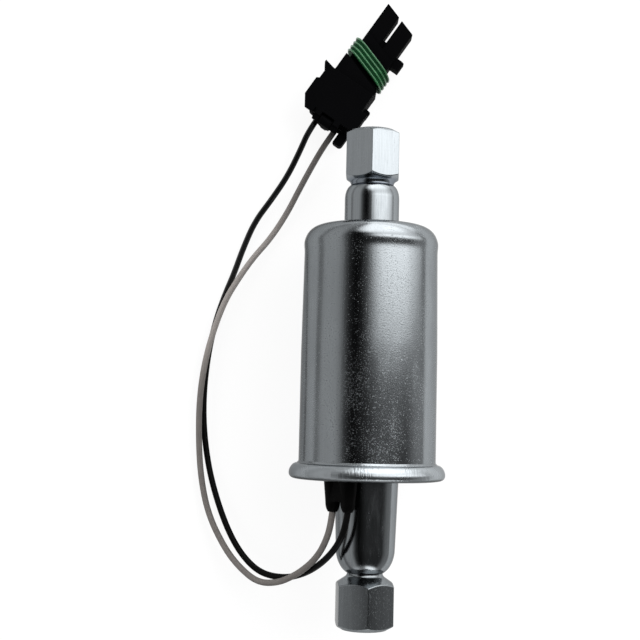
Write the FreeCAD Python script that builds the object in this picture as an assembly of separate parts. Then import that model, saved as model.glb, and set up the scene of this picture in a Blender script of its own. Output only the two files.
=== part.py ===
import FreeCAD, Part
import math
import os

from FreeCAD import Placement, Rotation, Vector

# Electric fuel pump, lying on its side: a deep drawn steel can with a rolled base seam,
# a hexagon inlet fitting below it, a hexagon outlet fitting on top, a solenoid pump inside,
# and two leads from a rubber grommet to a sealed two-way plug.
# Frame: +Y runs along the pump axis towards the outlet, +Z is up, X = 0 is the axis.
# Stations are distances along the axis from the inlet end face, in millimetres.

# Overall stack along the axis
INLET_STANDOFF = 54.35       # inlet end face to the underside of the rolled seam
CAN_HEIGHT = 94.15           # underside of the seam to the top of the can
OUTLET_STANDOFF = 36.8       # top of the can to the outlet end face
PUMP_LENGTH = INLET_STANDOFF + CAN_HEIGHT + OUTLET_STANDOFF

# Running and seating clearances
SLIP_GAP = 0.05              # radial, plunger in its tube
FIT_GAP = 0.1                # radial, fixed turned fits
SEAT_GAP = 0.3               # soft pieces and free neighbours
OVERLAP = 1.0                # how far tools run past a face, and joined solids into each other
NEAR = 0.05                  # edges this close to a plane are taken to lie in it

# Can and rolled seam
CAN_RADIUS = 25.4
CAN_TOP_RADIUS = 24.9        # the drawn wall tapers slightly towards the top
CLAMP_BAND_LENGTH = 40.0     # straight part of the wall, where a clamp goes round it
CAN_WALL = 1.0
SHOULDER_RADIUS = 6.3
FOOT_RADIUS = 1.2
SEAM_RADIUS = 28.95
SEAM_HEIGHT = 5.8
SEAM_LIP = 1.0               # sheet thickness in the rolled seam
SEAM_LIP_REACH = 4.0         # how far the rolled edge comes back under the base plate
AXIS_HEIGHT = SEAM_RADIUS    # the pump lies on its seam

# Base plate and its gasket, both clamped in the seam
BASE_PLATE_THICKNESS = 2.2
BASE_PLATE_RADIUS = 27.3
GASKET_INNER_RADIUS = 21.5

# Inlet fitting
INLET_HEX_AF = 20.2
INLET_HEX_LENGTH = 19.4
INLET_HEX_TURN = 5.0         # degrees, from a corner pointing straight up
INLET_NECK_RADIUS = 6.6
INLET_NECK_LENGTH = 0.9
INLET_DOME_RADIUS = 10.9     # barrel radius where the dome ends
INLET_DOME_HEIGHT = 8.4
INLET_DOME_BULGE = 1.5       # rise of the dome's arc over its chord
INLET_BARREL_RADIUS = 11.8   # barrel radius at the base plate
INLET_LAND = 1.0             # straight land under the base plate
INLET_SPIGOT_RADIUS = 10.0
INLET_SPIGOT_HEIGHT = 8.0    # above the underside of the base plate
INLET_SOCKET_DEPTH = 16.0    # socket for the pump tube, down from the spigot's end

# Outlet fitting
OUTLET_HEX_AF = 19.7
OUTLET_HEX_LENGTH = 19.6
OUTLET_HEX_TURN = -3.0
OUTLET_NECK_RADIUS = 8.1
OUTLET_NECK_LENGTH = 0.8
OUTLET_BARREL_RADIUS = 10.27
OUTLET_ROUND_HEIGHT = 4.6    # rounded upper end of the barrel
OUTLET_ROUND_BULGE = 0.75
OUTLET_SPIGOT_RADIUS = 8.8
OUTLET_SPIGOT_DEPTH = 7.0    # below the top of the can
OUTLET_SOCKET_DEPTH = 12.0   # socket for the pump tube, up from the spigot's end

# Shared details of both fittings
HEX_END_CIRCLE = 8.5         # radius of the flat end circle inside the end chamfer
HEX_CHAMFER_DEG = 30.0
HEX_BACK_CHAMFER_DEG = 34.0
PORT_RADIUS = 6.25           # tapping size of an M14 x 1.5 port
PORT_DEPTH = 13.0
PORT_LEAD = 0.8              # countersink at the mouth
PASSAGE_RADIUS = 3.6
SEAL_SECTION = 1.8           # diameter of the round seals on the pump tube

# Pump tube, plunger and stops
TUBE_RADIUS = 7.0
TUBE_WALL = 0.7
PLUNGER_LENGTH = 40.0
PLUNGER_STROKE = 8.0
PLUNGER_SPRING_SHORTEST = 20.0
PLUNGER_BORE = 2.6
BUMPER_THICKNESS = 3.0
BUMPER_BORE = 3.6
POCKET_RADIUS = 4.7          # valve pocket in the plunger's outlet end

# Valves
SEAT_THICKNESS = 3.0
SEAT_BORE = 2.6
SEAT_LIP_HEIGHT = 0.5
SEAT_LIP_WIDTH = 0.7
DISC_THICKNESS = 1.2
DISC_RADIUS = 3.9
VALVE_LIFT = 1.2
VALVE_SPRING_SHORTEST = 2.4
CAGE_WALL = 1.1
CAGE_TOP = 1.0
CAGE_HOLE_RADIUS = 1.3
CAGE_WINDOWS = 4
CAGE_WINDOW_RADIUS = 0.75
CAGE_RING_THICKNESS = 1.4    # ring that holds the plunger's valve spring
CAGE_RING_BORE = 2.2

# Springs: wire radius, mean coil radius and number of turns
PLUNGER_SPRING_WIRE = 0.45
PLUNGER_SPRING_MEAN = 4.9
PLUNGER_SPRING_TURNS = 7
VALVE_SPRING_WIRE = 0.2
VALVE_SPRING_MEAN = 2.5
VALVE_SPRING_TURNS = 3

# Strainer in the inlet port
STRAINER_RADIUS = 3.3
STRAINER_WALL = 0.4
STRAINER_LENGTH = 13.0
STRAINER_RIM_RADIUS = 5.6
STRAINER_RIM_THICKNESS = 0.7

# Solenoid
WASHER_THICKNESS = 2.5
WASHER_RADIUS = 23.2
SLEEVE_WALL = 2.0
BOBBIN_LENGTH = 50.0
BOBBIN_HUB_WALL = 1.2
BOBBIN_FLANGE_RADIUS = 20.4
BOBBIN_FLANGE = 1.5
DRIVE_WINDING_RADIUS = 17.6
SENSING_WINDING_RADIUS = 19.4
COIL_START = 77.0            # station of the lower pole washer's underside
SPACER_WALL = 1.8
UPPER_SPACER_RADIUS = 17.0

# Nut that clamps the outlet fitting in the can
NUT_THICKNESS = 4.0
NUT_AF = 24.0

# Circuit board above the base plate
BOARD_THICKNESS = 1.6
STANDOFF_HEIGHT = 4.6
STANDOFF_RADIUS = 1.8
STANDOFF_CIRCLE = 17.6
STANDOFF_COUNT = 3
STANDOFF_START_DEG = 70.0
TRANSISTOR_WIDTH = 7.0
TRANSISTOR_DEPTH = 4.6
TRANSISTOR_HEIGHT = 8.6
TRANSISTOR_BEARING_DEG = 250.0
CAPACITOR_RADIUS = 3.0
CAPACITOR_HEIGHT = 9.0
CAPACITOR_BEARING_DEG = 300.0
COMPONENT_CIRCLE = 15.6

# Rubber grommet with two boots, one for each lead
LEAD_RADIUS = 1.2
GROMMET_BEARING_DEG = 127.0  # from +X towards +Z
GROMMET_CIRCLE = 16.3        # radius from the pump axis to the middle of the boots
BOOT_SPACING = 6.7
BOOT_LENGTH = 11.3           # below the seam's underside
BOOT_ROOT_RADIUS = 3.5
BOOT_WAIST_RADIUS = 2.7
BOOT_NOSE = 3.6              # length of the rounded nose
BOOT_NOSE_BULGE = 0.28
BOOT_END_RADIUS = 1.7
BOOT_WEB_LENGTH = 7.4        # the two boots are joined down to the notch
GROMMET_NECK_RADIUS = 2.6
GROMMET_FLANGE = 1.4

# Two-way plug. It lies flat, with its mating face, seal and shoulder set on a slant.
PLUG_REAR_X = -18.6
PLUG_REAR_Y = 99.6
PLUG_BEARING_DEG = 56.0
MATING_SLANT_DEG = 18.0
PLUG_LENGTH = 52.2           # rear face to the middle of the mating face
TERMINAL_SPACING = 8.45
TOWER_WIDTH = 6.75
TOWER_THICKNESS = 8.0
TOWER_CORNER = 0.5
SLOT_LENGTH = 10.7           # open length of the slot between the towers
WEB_LENGTH = 9.0             # web between the towers behind the slot
WEB_DEPTH = 1.2              # how far the web lies below the towers' faces
CAVITY_WIDTH = 3.6
CAVITY_HEIGHT = 4.4
CAVITY_DEPTH = 14.0
NECK_THICKNESS = 9.6
NECK_CORNER = 1.2
NECK_FRONT = 38.2
PLUG_SEAL_FRONT = 33.6
PLUG_SEAL_REAR = 27.1
PLUG_SEAL_WIDTH = 20.8
PLUG_SEAL_THICKNESS = 14.2
PLUG_SEAL_GROOVE = 0.9       # depth of the grooves between the ribs
PLUG_SEAL_RIBS = 4
PLUG_SEAL_CORNER = 3.6
BODY_FRONT = 25.1
BODY_WIDTH = 18.8
BODY_THICKNESS = 13.2
BODY_REAR = 4.0
BODY_CORNER = 1.4
COLLAR_REAR = 1.8
COLLAR_WIDTH = 17.4
COLLAR_THICKNESS = 9.8
COLLAR_CORNER = 3.0
CABLE_BORE = 3.1
CABLE_BORE_DEPTH = 9.0
CABLE_SEAL_REAR = 3.0        # the seals sit inside their bores
CABLE_SEAL_LENGTH = 5.4
FRONT_NUB_START = 34.4
FRONT_NUB_LENGTH = 4.4
FRONT_NUB_REACH = 3.6
FRONT_NUB_HEIGHT = 5.0
SIDE_NUB_START = 12.1
SIDE_NUB_LENGTH = 3.0
SIDE_NUB_REACH = 2.1
SIDE_NUB_HEIGHT = 4.2
SIDE_NUB_LOW = -3.0
NUB_CORNER = 1.6
TONGUE_LENGTH = 8.6          # from its rear end, past the collar, into the body
TONGUE_REAR = -3.6
TONGUE_RIGHT = 10.1          # how far right of the plug's axis it reaches
TONGUE_WIDTH = 4.4
TONGUE_HEIGHT = 4.4
TONGUE_LOW = -3.0
TONGUE_CORNER = 1.4
TERMINAL_WIDTH = 3.0
TERMINAL_HEIGHT = 3.8
TERMINAL_WALL = 0.35
TERMINAL_BOX_LENGTH = 12.0
CRIMP_GAP = 1.5              # from the cable seal to the crimp

# Hinged lock over the plug's rear end
LOCK_COVER = 1.3
LOCK_FRONT = 19.8
LOCK_LEFT_CHEEK = 3.3
LOCK_RIGHT_CHEEK = 2.3
LOCK_CHEEK_START = 5.0
LOCK_WAIST_REAR = 13.3       # the left cheek is narrower from here to its horn
LOCK_WAIST_FRONT = 17.2
LOCK_WAIST_DEPTH = 1.1
LOCK_HORN_LEAN = 0.9         # how far the horn leans forward and stands out
LOCK_EAR_REAR = 0.5          # ear at the rear left
LOCK_EAR_START = 6.3
LOCK_EAR_END = 10.0
LOCK_LEFT_DROP = 9.0
LOCK_RIGHT_DROP = 4.6
LOCK_PIN_RADIUS = 1.0
LOCK_KNUCKLE_RADIUS = 2.0
LOCK_KNUCKLE_LENGTH = 2.6
HINGE_LUG_LENGTH = 5.2
HINGE_STATION = 0.8
HINGE_INSET = 1.2            # hinge axis below the body's top
ARC_SHARE = 0.45             # part of the shorter run that a lead's bend takes up

# Centre lines of the two leads, from the boots to the plug
GREY_ROUTE = [
    (-12.5, -49.6, 39.95), (-13.1, -54.9, 39.6), (-14.6, -60.2, 37.9), (-17.0, -65.4, 34.3),
    (-20.7, -70.2, 29.5), (-26.0, -74.7, 23.8), (-32.4, -78.2, 18.2), (-40.0, -78.8, 13.8),
    (-47.2, -73.9, 9.9), (-53.4, -67.1, 6.6), (-60.4, -54.6, 3.9), (-63.9, -40.4, 2.9),
    (-65.2, -24.9, 3.5), (-65.3, -9.2, 4.1), (-63.6, 5.4, 4.3), (-60.2, 18.9, 4.3),
    (-56.2, 29.9, 4.3), (-51.5, 38.2, 3.8), (-45.9, 46.9, 2.8), (-39.3, 54.8, 2.0),
    (-33.0, 64.8, 2.4), (-27.8, 75.4, 3.6), (-22.5, 85.4, 5.3), (-18.1, 92.8, 7.1),
    (-13.42, 99.73, 7.1),
]
BLACK_ROUTE = [
    (-7.13, -49.6, 43.98), (-7.9, -54.8, 43.6), (-9.7, -60.0, 41.6), (-12.7, -65.0, 37.3),
    (-16.9, -69.8, 30.7), (-22.2, -73.9, 23.1), (-29.2, -76.5, 16.8), (-38.4, -75.9, 11.4),
    (-45.3, -71.0, 7.5), (-51.3, -62.8, 4.6), (-56.5, -51.2, 2.6), (-60.9, -37.3, 1.5),
    (-63.5, -21.7, 1.3), (-64.0, -6.8, 1.3), (-62.6, 9.1, 1.3), (-60.0, 21.9, 1.3),
    (-56.7, 32.2, 1.3), (-53.4, 40.5, 1.3), (-50.3, 50.0, 1.4), (-45.7, 61.5, 2.0),
    (-39.1, 70.5, 3.2), (-32.9, 79.9, 4.4), (-28.0, 90.2, 6.2), (-24.9, 97.8, 7.1),
    (-20.42, 104.45, 7.1),
]

# Stations that several pieces share
SEAM_LOW = INLET_STANDOFF
SEAM_HIGH = SEAM_LOW + SEAM_HEIGHT
CAN_TOP = SEAM_LOW + CAN_HEIGHT
PLATE_LOW = SEAM_LOW + SEAM_LIP
PLATE_HIGH = PLATE_LOW + BASE_PLATE_THICKNESS
GASKET_HIGH = SEAM_HIGH - SEAM_LIP
SPIGOT_TOP = PLATE_LOW + INLET_SPIGOT_HEIGHT
TUBE_START = SPIGOT_TOP - INLET_SOCKET_DEPTH
OUTLET_SPIGOT_END = CAN_TOP - OUTLET_SPIGOT_DEPTH
TUBE_END = OUTLET_SPIGOT_END + OUTLET_SOCKET_DEPTH
TUBE_BORE = TUBE_RADIUS - TUBE_WALL
PLUNGER_RADIUS = TUBE_BORE - SLIP_GAP
SEAT_TOP = TUBE_START + SEAT_THICKNESS
DISC_SEAT = SEAT_TOP + SLIP_GAP
VALVE_ROOM = SLIP_GAP + DISC_THICKNESS + VALVE_LIFT + VALVE_SPRING_SHORTEST
CAGE_TOP_STATION = SEAT_TOP + VALVE_ROOM + CAGE_TOP
PLUNGER_LOW = CAGE_TOP_STATION + PLUNGER_SPRING_SHORTEST + PLUNGER_STROKE
PLUNGER_HIGH = PLUNGER_LOW + PLUNGER_LENGTH
POCKET_FLOOR = PLUNGER_HIGH - CAGE_RING_THICKNESS - VALVE_ROOM
BOBBIN_START = COIL_START + WASHER_THICKNESS
BOBBIN_END = BOBBIN_START + BOBBIN_LENGTH
COIL_END = BOBBIN_END + WASHER_THICKNESS
BOARD_LOW = PLATE_HIGH + STANDOFF_HEIGHT
BOARD_HIGH = BOARD_LOW + BOARD_THICKNESS
NUT_HIGH = CAN_TOP - CAN_WALL
CLAMP_BAND_HIGH = SEAM_HIGH + FOOT_RADIUS + CLAMP_BAND_LENGTH
PLUG_AXIS_HEIGHT = PLUG_SEAL_THICKNESS / 2
NECK_WIDTH = TERMINAL_SPACING + TOWER_WIDTH
BOOT_END = SEAM_LOW - BOOT_LENGTH
LOWER_SPACER_RADIUS = GASKET_INNER_RADIUS - FIT_GAP
SLANT = math.tan(math.radians(MATING_SLANT_DEG))
ALONG = Vector(0, 1, 0)


def place(station, x=0.0, up=0.0):
    """A point at a station along the pump, x across and up above the axis."""
    return Vector(x, station - PUMP_LENGTH / 2, AXIS_HEIGHT + up)


def turned(start, *steps):
    """Revolve a closed outline of (station, radius) points about the pump axis.

    A step is the next corner, or a pair (through, end) for an arc.
    """
    edges = []
    here = start
    for step in steps + (start,):
        if isinstance(step[0], tuple):
            through, end = step
            edges.append(Part.Arc(place(here[0], up=here[1]), place(through[0], up=through[1]),
                                  place(end[0], up=end[1])).toShape())
            here = end
        elif step != here:
            edges.append(Part.LineSegment(place(here[0], up=here[1]),
                                          place(step[0], up=step[1])).toShape())
            here = step
    face = Part.Face(Part.Wire(edges))
    return face.revolve(place(0), ALONG, 360)


def cylinder(low, high, radius, x=0.0, up=0.0):
    """A round bar along the pump axis between two stations."""
    return Part.makeCylinder(radius, high - low, place(low, x, up), ALONG)


def ring(low, high, outer, inner):
    """A round tube about the pump axis."""
    return cylinder(low, high, outer).cut(cylinder(low - OVERLAP, high + OVERLAP, inner))


def polar(radius, bearing_deg):
    """Offsets across and up for a bearing measured from +X towards +Z."""
    angle = math.radians(bearing_deg)
    return radius * math.cos(angle), radius * math.sin(angle)


def hexagon(low, high, across_flats, turn_deg):
    """A hexagonal bar about the pump axis, one corner turn_deg from straight up."""
    corner = across_flats / math.sqrt(3)
    points = []
    for k in range(7):
        x, up = polar(corner, 90 - turn_deg + 60 * k)
        points.append(place(low, x, up))
    return Part.Face(Part.makePolygon(points)).extrude(ALONG * (high - low))


def arc_bulge(start, end, depth):
    """The middle point of an arc between two profile points, bulging left by depth."""
    ds = end[0] - start[0]
    dr = end[1] - start[1]
    length = math.hypot(ds, dr)
    middle = ((start[0] + end[0]) / 2, (start[1] + end[1]) / 2)
    return (middle[0] - dr / length * depth, middle[1] + ds / length * depth)


def quarter_through(centre, radius, angle_deg):
    """A point on a circle in the profile plane, angle from +station towards +radius."""
    angle = math.radians(angle_deg)
    return (centre[0] + radius * math.cos(angle), centre[1] + radius * math.sin(angle))


def chamfered_hexagon(low, high, across_flats, turn_deg, low_circle, low_deg, high_circle, high_deg):
    """A hexagon whose corners are turned off at both ends."""
    corner = across_flats / math.sqrt(3) + OVERLAP
    low_rise = (corner - low_circle) * math.tan(math.radians(low_deg))
    high_rise = (corner - high_circle) * math.tan(math.radians(high_deg))
    blank = turned((low, 0), (low, low_circle), (low + low_rise, corner),
                   (high - high_rise, corner), (high, high_circle), (high, 0))
    return blank.common(hexagon(low, high, across_flats, turn_deg))


def tube_seal(station):
    """A round rubber ring on the pump tube."""
    radius = SEAL_SECTION / 2
    return Part.makeTorus(TUBE_RADIUS + radius + FIT_GAP / 2, radius, place(station), ALONG)


def make_can():
    """Drawn can: top, shoulder, straight wall, foot and the rolled seam."""
    hole = OUTLET_SPIGOT_RADIUS + FIT_GAP
    shoulder_low = CAN_TOP - SHOULDER_RADIUS
    shoulder_centre = (shoulder_low, CAN_TOP_RADIUS - SHOULDER_RADIUS)
    inner_shoulder = SHOULDER_RADIUS - CAN_WALL
    seam_middle = SEAM_LOW + SEAM_HEIGHT / 2
    bead = SEAM_HEIGHT / 2
    bead_radius = SEAM_RADIUS - bead
    foot_centre = (SEAM_HIGH + FOOT_RADIUS, CAN_RADIUS + FOOT_RADIUS)
    channel = BASE_PLATE_RADIUS + FIT_GAP
    return turned(
        (CAN_TOP, hole),
        (CAN_TOP, CAN_TOP_RADIUS - SHOULDER_RADIUS),
        (quarter_through(shoulder_centre, SHOULDER_RADIUS, 45), (shoulder_low, CAN_TOP_RADIUS)),
        (CLAMP_BAND_HIGH, CAN_RADIUS),
        (foot_centre[0], CAN_RADIUS),
        (quarter_through(foot_centre, FOOT_RADIUS, 225), (SEAM_HIGH, foot_centre[1])),
        ((seam_middle, SEAM_RADIUS), (SEAM_LOW, bead_radius)),
        (SEAM_LOW, BASE_PLATE_RADIUS - SEAM_LIP_REACH),
        (PLATE_LOW, BASE_PLATE_RADIUS - SEAM_LIP_REACH),
        (PLATE_LOW, channel),
        (GASKET_HIGH, channel),
        (GASKET_HIGH, CAN_RADIUS - CAN_WALL),
        (CLAMP_BAND_HIGH, CAN_RADIUS - CAN_WALL),
        (shoulder_low, CAN_TOP_RADIUS - CAN_WALL),
        (quarter_through(shoulder_centre, inner_shoulder, 45),
         (CAN_TOP - CAN_WALL, CAN_TOP_RADIUS - SHOULDER_RADIUS)),
        (CAN_TOP - CAN_WALL, hole),
    )


def boot_places():
    """Middles of the two boots, left one first, as offsets across and up."""
    middle = polar(GROMMET_CIRCLE, GROMMET_BEARING_DEG)
    step = polar(BOOT_SPACING / 2, GROMMET_BEARING_DEG + 90)
    return [(middle[0] + step[0], middle[1] + step[1]), (middle[0] - step[0], middle[1] - step[1])]


def slotted_bar(low, high, radius):
    """A bar with rounded ends that spans both boots."""
    first, second = boot_places()
    bar = cylinder(low, high, radius, *first).fuse(cylinder(low, high, radius, *second))
    middle = polar(GROMMET_CIRCLE, GROMMET_BEARING_DEG)
    block = Part.makeBox(BOOT_SPACING, high - low, 2 * radius,
                         Vector(-BOOT_SPACING / 2, 0, -radius))
    block.Placement = Placement(place(low, *middle),
                                Rotation(ALONG, 90 - GROMMET_BEARING_DEG))
    return bar.fuse(block).removeSplitter()


def make_base_plate():
    """Pressed disc that closes the can, with holes for the inlet spigot and the grommet."""
    plate = ring(PLATE_LOW, PLATE_HIGH, BASE_PLATE_RADIUS, INLET_SPIGOT_RADIUS + FIT_GAP)
    return plate.cut(slotted_bar(PLATE_LOW - OVERLAP, PLATE_HIGH + OVERLAP,
                                 GROMMET_NECK_RADIUS + FIT_GAP))


def make_base_gasket():
    """Flat rubber ring between the base plate and the can's lip."""
    return ring(PLATE_HIGH, GASKET_HIGH, BASE_PLATE_RADIUS, GASKET_INNER_RADIUS)


def make_lead_grommet():
    """Rubber grommet: two tapered boots outside, a neck in the plate and a flange inside."""
    boots = slotted_bar(BOOT_END + BOOT_LENGTH - BOOT_WEB_LENGTH, PLATE_LOW, BOOT_WAIST_RADIUS)
    neck = slotted_bar(PLATE_LOW, PLATE_HIGH, GROMMET_NECK_RADIUS)
    flange = slotted_bar(PLATE_HIGH, PLATE_HIGH + GROMMET_FLANGE, BOOT_ROOT_RADIUS)
    body = boots.fuse(neck).fuse(flange)
    for x, up in boot_places():
        waist = BOOT_END + BOOT_NOSE
        corner = (BOOT_END, BOOT_END_RADIUS)
        shoulder = (waist, BOOT_WAIST_RADIUS)
        boot = turned((BOOT_END, 0), corner,
                      (arc_bulge(corner, shoulder, BOOT_NOSE_BULGE), shoulder),
                      (PLATE_LOW, BOOT_ROOT_RADIUS), (PLATE_LOW, 0))
        boot.translate(Vector(x, 0, up))
        body = body.fuse(boot)
    return body.removeSplitter()


def make_inlet_fitting():
    """Hexagon, neck, domed and tapered barrel, spigot, and the bores through them."""
    rim_seat = PORT_DEPTH + FIT_GAP + STRAINER_RIM_THICKNESS
    dome_low = INLET_HEX_LENGTH + INLET_NECK_LENGTH
    dome_high = dome_low + INLET_DOME_HEIGHT
    dome_start = (dome_low, INLET_NECK_RADIUS)
    dome_end = (dome_high, INLET_DOME_RADIUS)
    barrel = turned(
        (INLET_HEX_LENGTH - OVERLAP, 0),
        (INLET_HEX_LENGTH - OVERLAP, INLET_NECK_RADIUS),
        dome_start,
        (arc_bulge(dome_start, dome_end, INLET_DOME_BULGE), dome_end),
        (PLATE_LOW - INLET_LAND, INLET_BARREL_RADIUS),
        (PLATE_LOW, INLET_BARREL_RADIUS),
        (PLATE_LOW, INLET_SPIGOT_RADIUS),
        (SPIGOT_TOP, INLET_SPIGOT_RADIUS),
        (SPIGOT_TOP, 0),
    )
    head = chamfered_hexagon(0, INLET_HEX_LENGTH, INLET_HEX_AF, INLET_HEX_TURN,
                             HEX_END_CIRCLE, HEX_CHAMFER_DEG,
                             INLET_NECK_RADIUS, HEX_BACK_CHAMFER_DEG)
    bores = turned(
        (-OVERLAP, 0),
        (-OVERLAP, PORT_RADIUS + PORT_LEAD),
        (0, PORT_RADIUS + PORT_LEAD),
        (PORT_LEAD, PORT_RADIUS),
        (PORT_DEPTH, PORT_RADIUS),
        (PORT_DEPTH, STRAINER_RIM_RADIUS + FIT_GAP),
        (rim_seat, STRAINER_RIM_RADIUS + FIT_GAP),
        (rim_seat, PASSAGE_RADIUS),
        (TUBE_START, PASSAGE_RADIUS),
        (TUBE_START, TUBE_RADIUS + FIT_GAP),
        (SPIGOT_TOP - SEAL_SECTION, TUBE_RADIUS + FIT_GAP),
        (SPIGOT_TOP - SEAL_SECTION, TUBE_RADIUS + SEAL_SECTION + FIT_GAP),
        (SPIGOT_TOP + OVERLAP, TUBE_RADIUS + SEAL_SECTION + FIT_GAP),
        (SPIGOT_TOP + OVERLAP, 0),
    )
    return barrel.fuse(head).cut(bores)


def make_outlet_fitting():
    """Round barrel on the can's top, rounded to a neck, with a hexagon above it."""
    hex_low = PUMP_LENGTH - OUTLET_HEX_LENGTH
    round_high = hex_low - OUTLET_NECK_LENGTH
    round_low = round_high - OUTLET_ROUND_HEIGHT
    round_start = (round_low, OUTLET_BARREL_RADIUS)
    round_end = (round_high, OUTLET_NECK_RADIUS)
    port_floor = PUMP_LENGTH - PORT_DEPTH
    socket = TUBE_RADIUS + FIT_GAP
    barrel = turned(
        (OUTLET_SPIGOT_END, 0),
        (OUTLET_SPIGOT_END, OUTLET_SPIGOT_RADIUS),
        (CAN_TOP, OUTLET_SPIGOT_RADIUS),
        (CAN_TOP, OUTLET_BARREL_RADIUS),
        round_start,
        (arc_bulge(round_start, round_end, OUTLET_ROUND_BULGE), round_end),
        (hex_low + OVERLAP, OUTLET_NECK_RADIUS),
        (hex_low + OVERLAP, 0),
    )
    head = chamfered_hexagon(hex_low, PUMP_LENGTH, OUTLET_HEX_AF, OUTLET_HEX_TURN,
                             OUTLET_NECK_RADIUS, HEX_BACK_CHAMFER_DEG,
                             HEX_END_CIRCLE, HEX_CHAMFER_DEG)
    bores = turned(
        (PUMP_LENGTH + OVERLAP, 0),
        (PUMP_LENGTH + OVERLAP, PORT_RADIUS + PORT_LEAD),
        (PUMP_LENGTH, PORT_RADIUS + PORT_LEAD),
        (PUMP_LENGTH - PORT_LEAD, PORT_RADIUS),
        (port_floor, PORT_RADIUS),
        (port_floor - PORT_LEAD, PASSAGE_RADIUS),
        (TUBE_END, PASSAGE_RADIUS),
        (TUBE_END, socket),
        (OUTLET_SPIGOT_END - OVERLAP, socket),
        (OUTLET_SPIGOT_END - OVERLAP, 0),
    )
    return barrel.fuse(head).cut(bores)


def make_outlet_nut():
    """Thin nut that clamps the outlet fitting's spigot to the can's top."""
    nut = hexagon(NUT_HIGH - NUT_THICKNESS, NUT_HIGH, NUT_AF, 0)
    return nut.cut(cylinder(NUT_HIGH - NUT_THICKNESS - OVERLAP, NUT_HIGH + OVERLAP,
                            OUTLET_SPIGOT_RADIUS + FIT_GAP))


def make_tube_seal():
    """Round seal between the pump tube and the inlet fitting's spigot."""
    return tube_seal(SPIGOT_TOP - SEAL_SECTION / 2)


def make_pump_tube():
    """Thin tube that joins the two fittings and guides the plunger."""
    return ring(TUBE_START, TUBE_END, TUBE_RADIUS, TUBE_BORE)


def make_inlet_strainer():
    """Thimble of fine mesh with a rim, in the inlet port's floor."""
    rim_low = PORT_DEPTH + FIT_GAP
    rim_high = rim_low + STRAINER_RIM_THICKNESS
    tip = rim_high + STRAINER_LENGTH
    inner = STRAINER_RADIUS - STRAINER_WALL
    return turned(
        (rim_low, inner),
        (rim_low, STRAINER_RIM_RADIUS),
        (rim_high, STRAINER_RIM_RADIUS),
        (rim_high, STRAINER_RADIUS),
        (tip - inner, STRAINER_RADIUS),
        (tip, inner / 2),
        (tip, 0),
        (tip - STRAINER_WALL, 0),
        (tip - STRAINER_WALL, inner / 2),
        (tip - inner - STRAINER_WALL / 2, inner),
    )


def make_inlet_valve_seat():
    """Brass ring in the bottom of the pump tube with a raised lip for the disc."""
    seat = ring(TUBE_START, SEAT_TOP - SEAT_LIP_HEIGHT, TUBE_BORE - FIT_GAP, SEAT_BORE)
    return seat.fuse(ring(SEAT_TOP - OVERLAP, SEAT_TOP, SEAT_BORE + SEAT_LIP_WIDTH, SEAT_BORE))


def make_inlet_valve_cage():
    """Cup with side windows that keeps the inlet valve's disc and spring."""
    outer = TUBE_BORE - FIT_GAP
    low = SEAT_TOP - SEAT_LIP_HEIGHT
    cup = cylinder(low, CAGE_TOP_STATION, outer)
    cup = cup.cut(cylinder(low - OVERLAP, CAGE_TOP_STATION - CAGE_TOP, outer - CAGE_WALL))
    cup = cup.cut(cylinder(low, CAGE_TOP_STATION + OVERLAP, CAGE_HOLE_RADIUS))
    for k in range(CAGE_WINDOWS):
        x, up = polar(SEAT_BORE, 45 + 360 / CAGE_WINDOWS * k)
        cup = cup.cut(cylinder(CAGE_TOP_STATION - 2 * CAGE_TOP, CAGE_TOP_STATION + OVERLAP,
                               CAGE_WINDOW_RADIUS, x, up))
    return cup


def valve_disc(seat_station):
    """Rubber disc that closes a seat below it."""
    return cylinder(seat_station, seat_station + DISC_THICKNESS, DISC_RADIUS)


def biarc(start, start_way, end, end_way):
    """Two tangent arcs from one point and direction to another."""
    span = end - start
    ways = start_way + end_way
    along = span.dot(ways)
    spread = 2 * (1 - start_way.dot(end_way))
    reach = (-along + math.sqrt(along * along + spread * span.dot(span))) / spread
    joint = (start + end + (start_way - end_way) * reach) * 0.5
    edges = []
    for near, way, far in ((start, start_way, joint), (end, end_way * -1, joint)):
        chord = far - near
        side = chord - way * chord.dot(way)
        side.normalize()
        radius = chord.dot(chord) / (2 * side.dot(chord))
        centre = near + side * radius
        outward = (near + far) * 0.5 - centre
        outward.normalize()
        edges.append(Part.Arc(near, centre + outward * radius, far).toShape())
    return edges


def helical_spring(low, high, mean_radius, wire_radius, turns):
    """A round wire wound between two stations, in quarter turns."""
    first = low + wire_radius
    rise = (high - low - 2 * wire_radius) / turns
    quarters = 4 * turns

    def station(quarter):
        x, up = polar(mean_radius, 90 * quarter)
        return place(first + rise * quarter / 4, x, up)

    def heading(quarter):
        x, up = polar(mean_radius, 90 * quarter + 90)
        way = Vector(x, rise / (2 * math.pi), up)
        way.normalize()
        return way

    edges = []
    for quarter in range(quarters):
        edges += biarc(station(quarter), heading(quarter), station(quarter + 1), heading(quarter + 1))
    circle = Part.Wire(Part.Circle(station(0), heading(0), wire_radius).toShape())
    least_gap = rise - 2 * wire_radius
    print("spring", "turns", turns, "gap between turns", round(least_gap, 2))
    return Part.Wire(edges).makePipeShell([circle], True, False)


def make_plunger():
    """Hollow steel piston with a valve pocket in its outlet end."""
    body = ring(PLUNGER_LOW, PLUNGER_HIGH, PLUNGER_RADIUS, PLUNGER_BORE)
    return body.cut(cylinder(POCKET_FLOOR, PLUNGER_HIGH + OVERLAP, POCKET_RADIUS))


def make_plunger_valve_cage():
    """Ring pressed in the plunger's pocket, over its valve disc and spring."""
    low = PLUNGER_HIGH - CAGE_RING_THICKNESS
    return ring(low, PLUNGER_HIGH, POCKET_RADIUS - SLIP_GAP, CAGE_RING_BORE)


def make_outlet_bumper():
    """Rubber stop ring for the plunger's outlet end."""
    low = PLUNGER_HIGH + SLIP_GAP
    return ring(low, low + BUMPER_THICKNESS, TUBE_BORE - FIT_GAP, BUMPER_BORE)


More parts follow.
